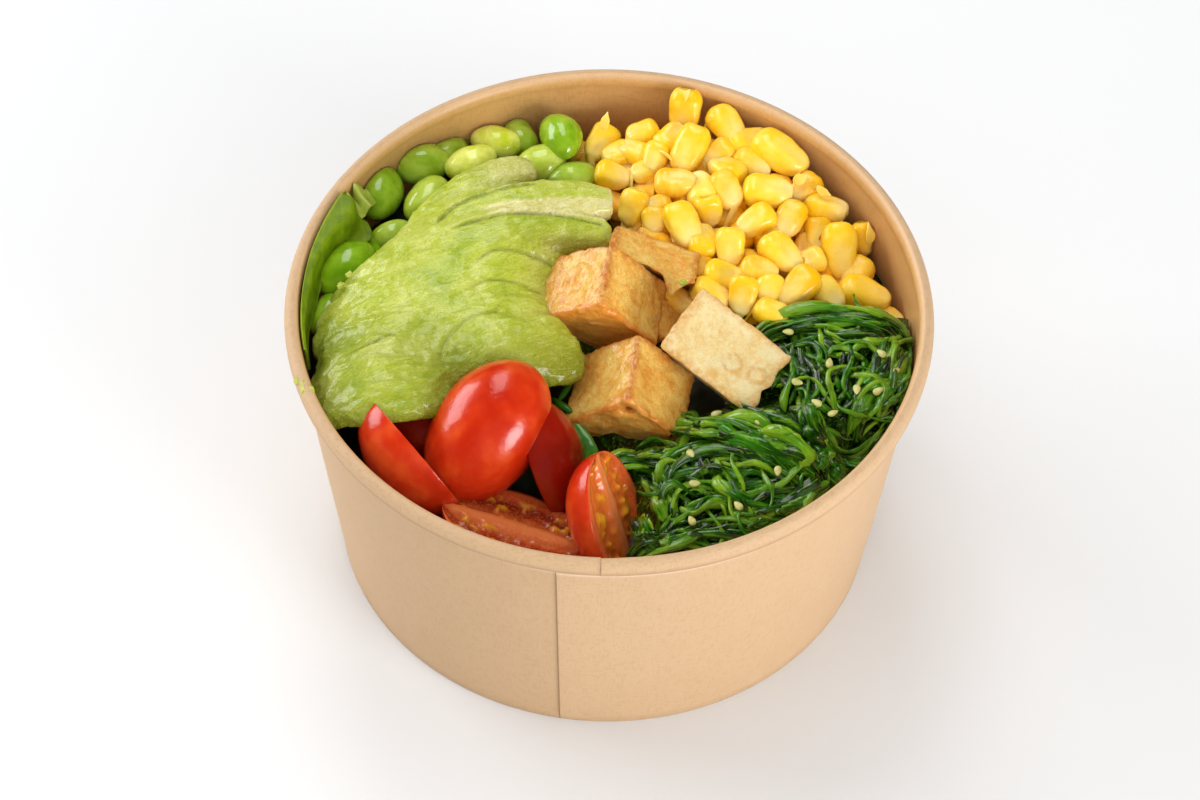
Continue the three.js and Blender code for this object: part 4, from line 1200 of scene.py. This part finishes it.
def seaweed_shape():
    random = seeded(5)
    parts = []
    for knots, count, spread, width, height, bright in LOCKS:
        for _ in range(int(1.5 * count)):
            line = strand_line(knots, spread, height, random)
            wide = width * (0.5 + 1.5 * next(random) ** 2.0)
            tone = bright + 0.95 * (next(random) - 0.53)
            parts.append(strand(line, wide, 0.25 * wide + 0.6, tone, 2.0 * next(random) - 1.0, random))
    for _ in range(60):
        wide = 0.9 + 1.6 * next(random) ** 1.5
        tone = 0.25 + 0.75 * next(random)
        parts.append(strand(curl_line(random), wide, 0.5 * wide + 0.3, tone, 6.28 * next(random), random))
    points, faces, values = joined(parts)
    return roughened(points, faces, 0.2, 1.3, 2), faces, values


def seaweed_core():
    def top(x, y):
        slope = smoothstep(seaweed_depth(x + 3, y), 0, 8)
        relief = 0.9 * noise(np.column_stack([x, y, 0 * x]), 3.0, 4)
        return seaweed_surface(x, y) - 3.4 + relief - 14 * (1 - slope)

    points, faces = heap_core(((-8, 74), (-70, 8)), top, 1.2)
    # painted shade: the core is toned near black to show the shaded gaps between the strands
    return points, faces, {"tone": np.full(len(points), 0.1), "across": points[:, 0], "along": points[:, 1]}


def seeds_shape():
    random = seeded(9)
    n, faces = ball(14, 12)
    taper = 1 - 0.35 * n[:, :1]
    seed = n * [1.35, 0.85, 0.5] * np.hstack([np.ones_like(taper), taper, taper])
    parts = []
    for x, y in SEEDS:
        turn = (360 * next(random), 30 * next(random) - 15, 30 * next(random) - 15)
        height = seaweed_surface(x, y) + 1.6 + 0.5 * next(random)
        parts.append((placed(seed, (x, y, height), turn), faces, {}))
    return joined(parts)


# ---------------------------------------------------------------- leaves, stems and bed

LEAF_THICKNESS = 0.6
BED_RADIUS_GAP, BED_EDGE, BED_MIDDLE = 0.6, 54.0, 56.0  # how clear of the wall the bed is, and how high


def sheet_shape(middle, rows, columns, vein):
    """A grid of points as a closed sheet of leaf."""
    sheet, count = grid_faces(rows, columns), len(middle)
    half = normals_of(middle, [sheet]) * LEAF_THICKNESS / 2
    edge, after = sheet_edge(rows, columns)
    rim = np.stack([edge + count, after + count, after, edge], axis=1)
    faces = np.vstack([sheet, sheet[:, ::-1] + count, rim])
    return inside_bowl(np.vstack([middle + half, middle - half]), 0.25), [faces], {"vein": np.tile(vein, 2)}


def wall_leaf_shape():
    """A leaf that leans on the wall, creased lengthwise, with its inner half folded down."""
    u, v = crossed(np.linspace(0, 1, 100), np.linspace(0, 1, 26))
    reach = 1.0 + 13 * (1 - u) ** 3.2 * smoothstep(u, -0.12, 0.14) + 1.2 * bell(u - 0.6, 0.2)
    reach = reach * (1 + 0.05 * noise(np.column_stack([9 * u, 0 * u, 0 * u]), 1.0, 3) * v)
    fold = smoothstep(v, 0.42, 0.62)
    folded = 6.5 * fold * np.sin(np.clip(v * 1.7, 0, 1.57))
    height = 76.6 - 1.5 * u - 0.5 * v + 0.5 * np.sin(6 * u) * v - folded + 0.25 * np.sin(21 * u + 3 * v) * v
    middle = polar(MOUTH - 0.4 - reach * v, np.radians(lerp(153.5, 192, u)), height)
    rib = 0.25 * bell(np.sin(16 * (u - 0.35 * v)), 0.12)
    # painted light: a light band along the leaf's outer edge, carried in the vein value
    edge_light = 0.7 * smoothstep(v, 0.07, 0.0)
    crease = 0.6 * bell(v - 0.42, 0.035)
    return sheet_shape(middle, 100, 26, np.clip(rib + edge_light + crease * 0.3, 0, 1))


def torn_leaf_shape():
    """A small torn leaf with two points that lean on the wall."""
    u, v = crossed(np.linspace(0, 1, 40), np.linspace(0, 1, 26))
    points_up = np.maximum(1 - np.abs(u - 0.38) / 0.3, 0.9 - np.abs(u - 0.86) / 0.2)
    angle = np.radians(lerp(147.6, 153.2, u) + 1.0 * (v - 0.5))
    radius = MOUTH - 1.8 - 4.0 * v + 1.6 * np.clip(points_up, 0, 1) * (1 - v)
    height = 70.5 + 4.6 * np.clip(points_up, 0.1, 1) * (1 - v) + 0.5 * np.sin(9 * u + 4 * v)
    return sheet_shape(polar(radius, angle, height), 40, 26, 0.6 * bell(u - 0.4, 0.06))


def stem_shape(at, turn, size):
    n, faces = ball(20, 30)
    points = roughened(n * np.array(size) / 2, faces, 0.12, 2.5)
    return placed(points, at, turn), faces, {"vein": np.zeros(len(points))}


def bed_shape():
    """Dark leaves under everything, coloured near black as painted shade: a crumpled surface over the bowl's
    lower part.
    """

    def top(x, y):
        flat = np.column_stack([x, y, 0 * x])
        folds = 1.6 * np.abs(noise(flat, 7.0, 2)) + 0.6 * noise(flat, 2.4, 5)
        return 55.4 + 8 * mound(x, y, (-32, 0), (24, 17)) + folds

    around, floor = 180, FLOOR_HEIGHT + 0.4
    spin = full_turn(around)
    r, a = crossed(np.linspace(0, 1, 56)[1:], spin)
    upper = polar((wall_inside(BED_MIDDLE) - BED_RADIUS_GAP) * r, a, 0 * a)
    upper[:, 2] = top(upper[:, 0], upper[:, 1])
    levels = [np.full(around, z) for z in np.linspace(BED_EDGE, floor, 6)]
    body = np.vstack([upper, *[polar(wall_inside(z) - BED_RADIUS_GAP, spin, z) for z in levels]])
    middle = top(np.zeros(1), np.zeros(1))[0]
    points = np.vstack([body, [[0, 0, middle], [0, 0, floor]]])
    return points, tube_faces(len(body) // around, around, inward=True), {}


# ---------------------------------------------------------------- the object

kraft_outside = kraft_look("kraft_outside", (198, 165, 128), (189, 154, 115), (146, 106, 69), 0.6, 0.0)
kraft_inside = kraft_look("kraft_inside", (207, 160, 102), (197, 148, 88), (164, 110, 56), 0.42, 0.2)
mesh_piece("paper_outside", outer_paper(), kraft_outside, ["paper_bowl"])
mesh_piece("paper_inside", inner_paper(), kraft_inside, ["paper_bowl"])

avocado = avocado_look()
mesh_piece("avocado", avocado_shape(), avocado, [f"avocado_slice_{k}" for k in range(1, 8)])

golden = tofu_look(
    "golden_tofu", pale=(255, 216, 118), mid=(250, 188, 82), brown=(234, 150, 48),
    toasted=(200, 102, 20), dark=(156, 80, 16), blister=(254, 206, 106),
)
cream = tofu_look(
    "pale_tofu", pale=(255, 238, 190), mid=(254, 226, 160), brown=(245, 203, 124),
    toasted=(230, 168, 80), dark=(208, 148, 76), blister=(244, 194, 108),
)
for index, (name, values) in enumerate(TOFU.items()):
    look, slot, rough = (cream, "pale_tofu", 0.7) if name == "tofu_cube_2" else (golden, "tofu", 1.0)
    shape = tofu_shape(**values, seed=20 * index, rough=rough)
    mesh_piece(name.replace("cube", "fried"), shape, look, [name])

tomato = tomato_look()
for index, (name, values) in enumerate(TOMATOES.items()):
    mesh_piece(name.replace("piece", "cut"), tomato_shape(**values, seed=index), tomato, [name])

bean = bean_look()
for index, values in enumerate(BEANS, 1):
    slot = "pale_bean" if index in (4, 5, 6, 8) else "bean"
    mesh_piece(f"bean_{index}", bean_shape(*values, seed=index), bean, [f"edamame_bean_{index}"])

corn = corn_look()
mesh_piece("corn_kernels", corn_shape(), corn, ["sweetcorn"])
mesh_piece("corn_core", corn_core(), corn, ["sweetcorn"])

seaweed = seaweed_look()
mesh_piece("seaweed_strands", seaweed_shape(), seaweed, ["seaweed_salad"])
mesh_piece("seaweed_core", seaweed_core(), seaweed, ["seaweed_salad"])
sesame = plain_look("sesame", (176, 172, 84), (214, 206, 132), 1.2, 0.35, 0.3, 0.1)
mesh_piece("sesame_seeds", seeds_shape(), sesame, ["seaweed_salad"])

leaf = leaf_look("leaf", (76, 104, 0), (118, 142, 4), (160, 174, 36))
mesh_piece("wall_leaf", wall_leaf_shape(), leaf, ["leaf_at_wall"])
torn_leaf = leaf_look("torn_leaf", (126, 146, 40), (168, 182, 70), (200, 206, 110))
mesh_piece("torn_leaf", torn_leaf_shape(), torn_leaf, ["leaf_tip"])
stem = leaf_look("stem", (26, 84, 8), (66, 130, 20), (120, 170, 60), (0.9, 0.08))
STEMS = {
    "green_stem_1": ((-9.5, -14, 62), (63, 0, 0), (9, 1.6, 1.6)),
    "green_stem_2": ((-10, -19, 62), (-40, 0, 0), (8, 1.8, 1.6)),
    "green_stem_3": ((-4.9, -31.6, 63.2), (-63, 10, 25), (13, 5.2, 1.6)),
}
for name, values in STEMS.items():
    mesh_piece(name.replace("green", "fresh"), stem_shape(*values), stem, [name])

# the bed's near-black colour is partly dark leaves, partly painted shade between the toppings
bed = plain_look("dark_leaves_and_shade", (8, 12, 4), (28, 38, 10), 5.0, 0.5, 0.1, 0.4)
mesh_piece("leaf_bed", bed_shape(), bed, ["salad_bed"])

# Smears and crumbs of avocado: place, size and turn.
CRUMBS = [
    ((-67.9, -27.2, 75.4), (5.0, 2.8, 1.7), (-62, 12, 0)),
    ((-69.7, -24.2, 75.4), (2.8, 2.4, 1.6), (0, 0, 0)),
    ((16.9, 8.8, 74.4), (1.9, 1.5, 1.2), (20, 0, 0)),
    ((-62.4, 6.0, 73.6), (2.2, 1.4, 1.2), (70, 0, 0)),
    ((-60.6, 9.0, 74.0), (1.8, 1.3, 1.0), (60, 0, 0)),
]
crumbs = joined([crumb(*values, index) for index, values in enumerate(CRUMBS)])
mesh_piece("avocado_smears", crumbs, avocado, [])


# ---------------------------------------------------------------- floor, lights and camera

FLOOR_REACH = 3.0
MIRRORED = {"window", "softbox", "back_strip"}  # the lights that the wet food shows
# Place, size, power and colour of each light.
LIGHTS = {
    "window": ((-0.9, 0.45, 0.5), (0.8, 0.6), 8.1, (0.96, 0.98, 1.0)),
    "softbox": ((0.68, -0.62, 0.27), (0.44, 0.44), 6.9, (1, 1, 1)),
    "front_fill": ((0.2, -1.6, 1.2), (2.0, 1.4), 12.5, (1, 1, 1)),
    "left_card": ((-1.2, -0.6, 0.3), (0.8, 0.6), 4.2, (0.92, 0.96, 1.0)),
    "ceiling": ((-0.1, 0.25, 1.3), (1.3, 1.3), 3.6, (1, 1, 1)),
    "back_strip": ((-0.12, 0.62, 1.0), (0.4, 0.85), 3.8, (1, 1, 1)),
}
LIT_POINT = Vector((0, 0, 0.06))
CAMERA = {"focal_px": 4300.0, "distance": 1.02198, "aim": (0, 0, 0.035), "elevation": 51.607, "roll": 1.455}
IMAGE = {"width": 1200, "centre_x": 6.8, "centre_y": 15.9}


def add_floor():
    mesh = bpy.data.meshes.new("floor")
    corners = [(x * FLOOR_REACH, y * FLOOR_REACH, 0) for x, y in ((-1, -1), (1, -1), (1, 1), (-1, 1))]
    mesh.from_pydata(corners, [], [(0, 1, 2, 3)])
    look = Look("floor", 0.2)
    colour = look.ramp(look.noise(400.0), {0.0: (224, 224, 224), 1.0: (228, 228, 228)})
    mesh.materials.append(look.finish(colour, 0.9, (look.noise(1.0), 0.01)))
    linked("floor", mesh)


def add_lights():
    for name, (at, size, power, colour) in LIGHTS.items():
        data = bpy.data.lights.new(name, "AREA")
        data.shape = "RECTANGLE"
        data.size, data.size_y = size
        data.energy, data.color = power, colour
        lamp = linked(name, data)
        lamp.location = at
        lamp.visible_glossy = name in MIRRORED
        lamp.rotation_euler = (LIT_POINT - Vector(at)).to_track_quat("-Z", "Y").to_euler()
    world = bpy.data.worlds.new("studio")
    world.use_nodes = True
    background = world.node_tree.nodes["Background"].inputs
    background["Color"].default_value = (0.98, 0.985, 1.0, 1)
    background["Strength"].default_value = 0.36
    world.cycles_visibility.glossy = False
    bpy.context.scene.world = world
    bpy.context.scene.view_settings.view_transform = "Standard"


def add_camera():
    """The camera that took the photograph, rolled a little."""
    rise, roll = math.radians(CAMERA["elevation"]), math.radians(CAMERA["roll"])
    ahead = Vector((0, math.cos(rise), -math.sin(rise)))
    right, up = Vector((1, 0, 0)), Vector((0, math.sin(rise), math.cos(rise)))
    turned_right = right * math.cos(roll) + up * math.sin(roll)
    turned_up = up * math.cos(roll) - right * math.sin(roll)
    place = Matrix((turned_right, turned_up, -ahead)).transposed().to_4x4()
    place.translation = Vector(CAMERA["aim"]) - ahead * CAMERA["distance"]
    data = bpy.data.cameras.new("camera")
    data.sensor_width = 36.0
    data.lens = CAMERA["focal_px"] / IMAGE["width"] * data.sensor_width
    data.shift_x = -IMAGE["centre_x"] / IMAGE["width"]
    data.shift_y = IMAGE["centre_y"] / IMAGE["width"]
    data.clip_end = 10
    camera = linked("camera", data)
    camera.matrix_world = place
    bpy.context.scene.camera = camera


add_floor()
add_lights()
add_camera()
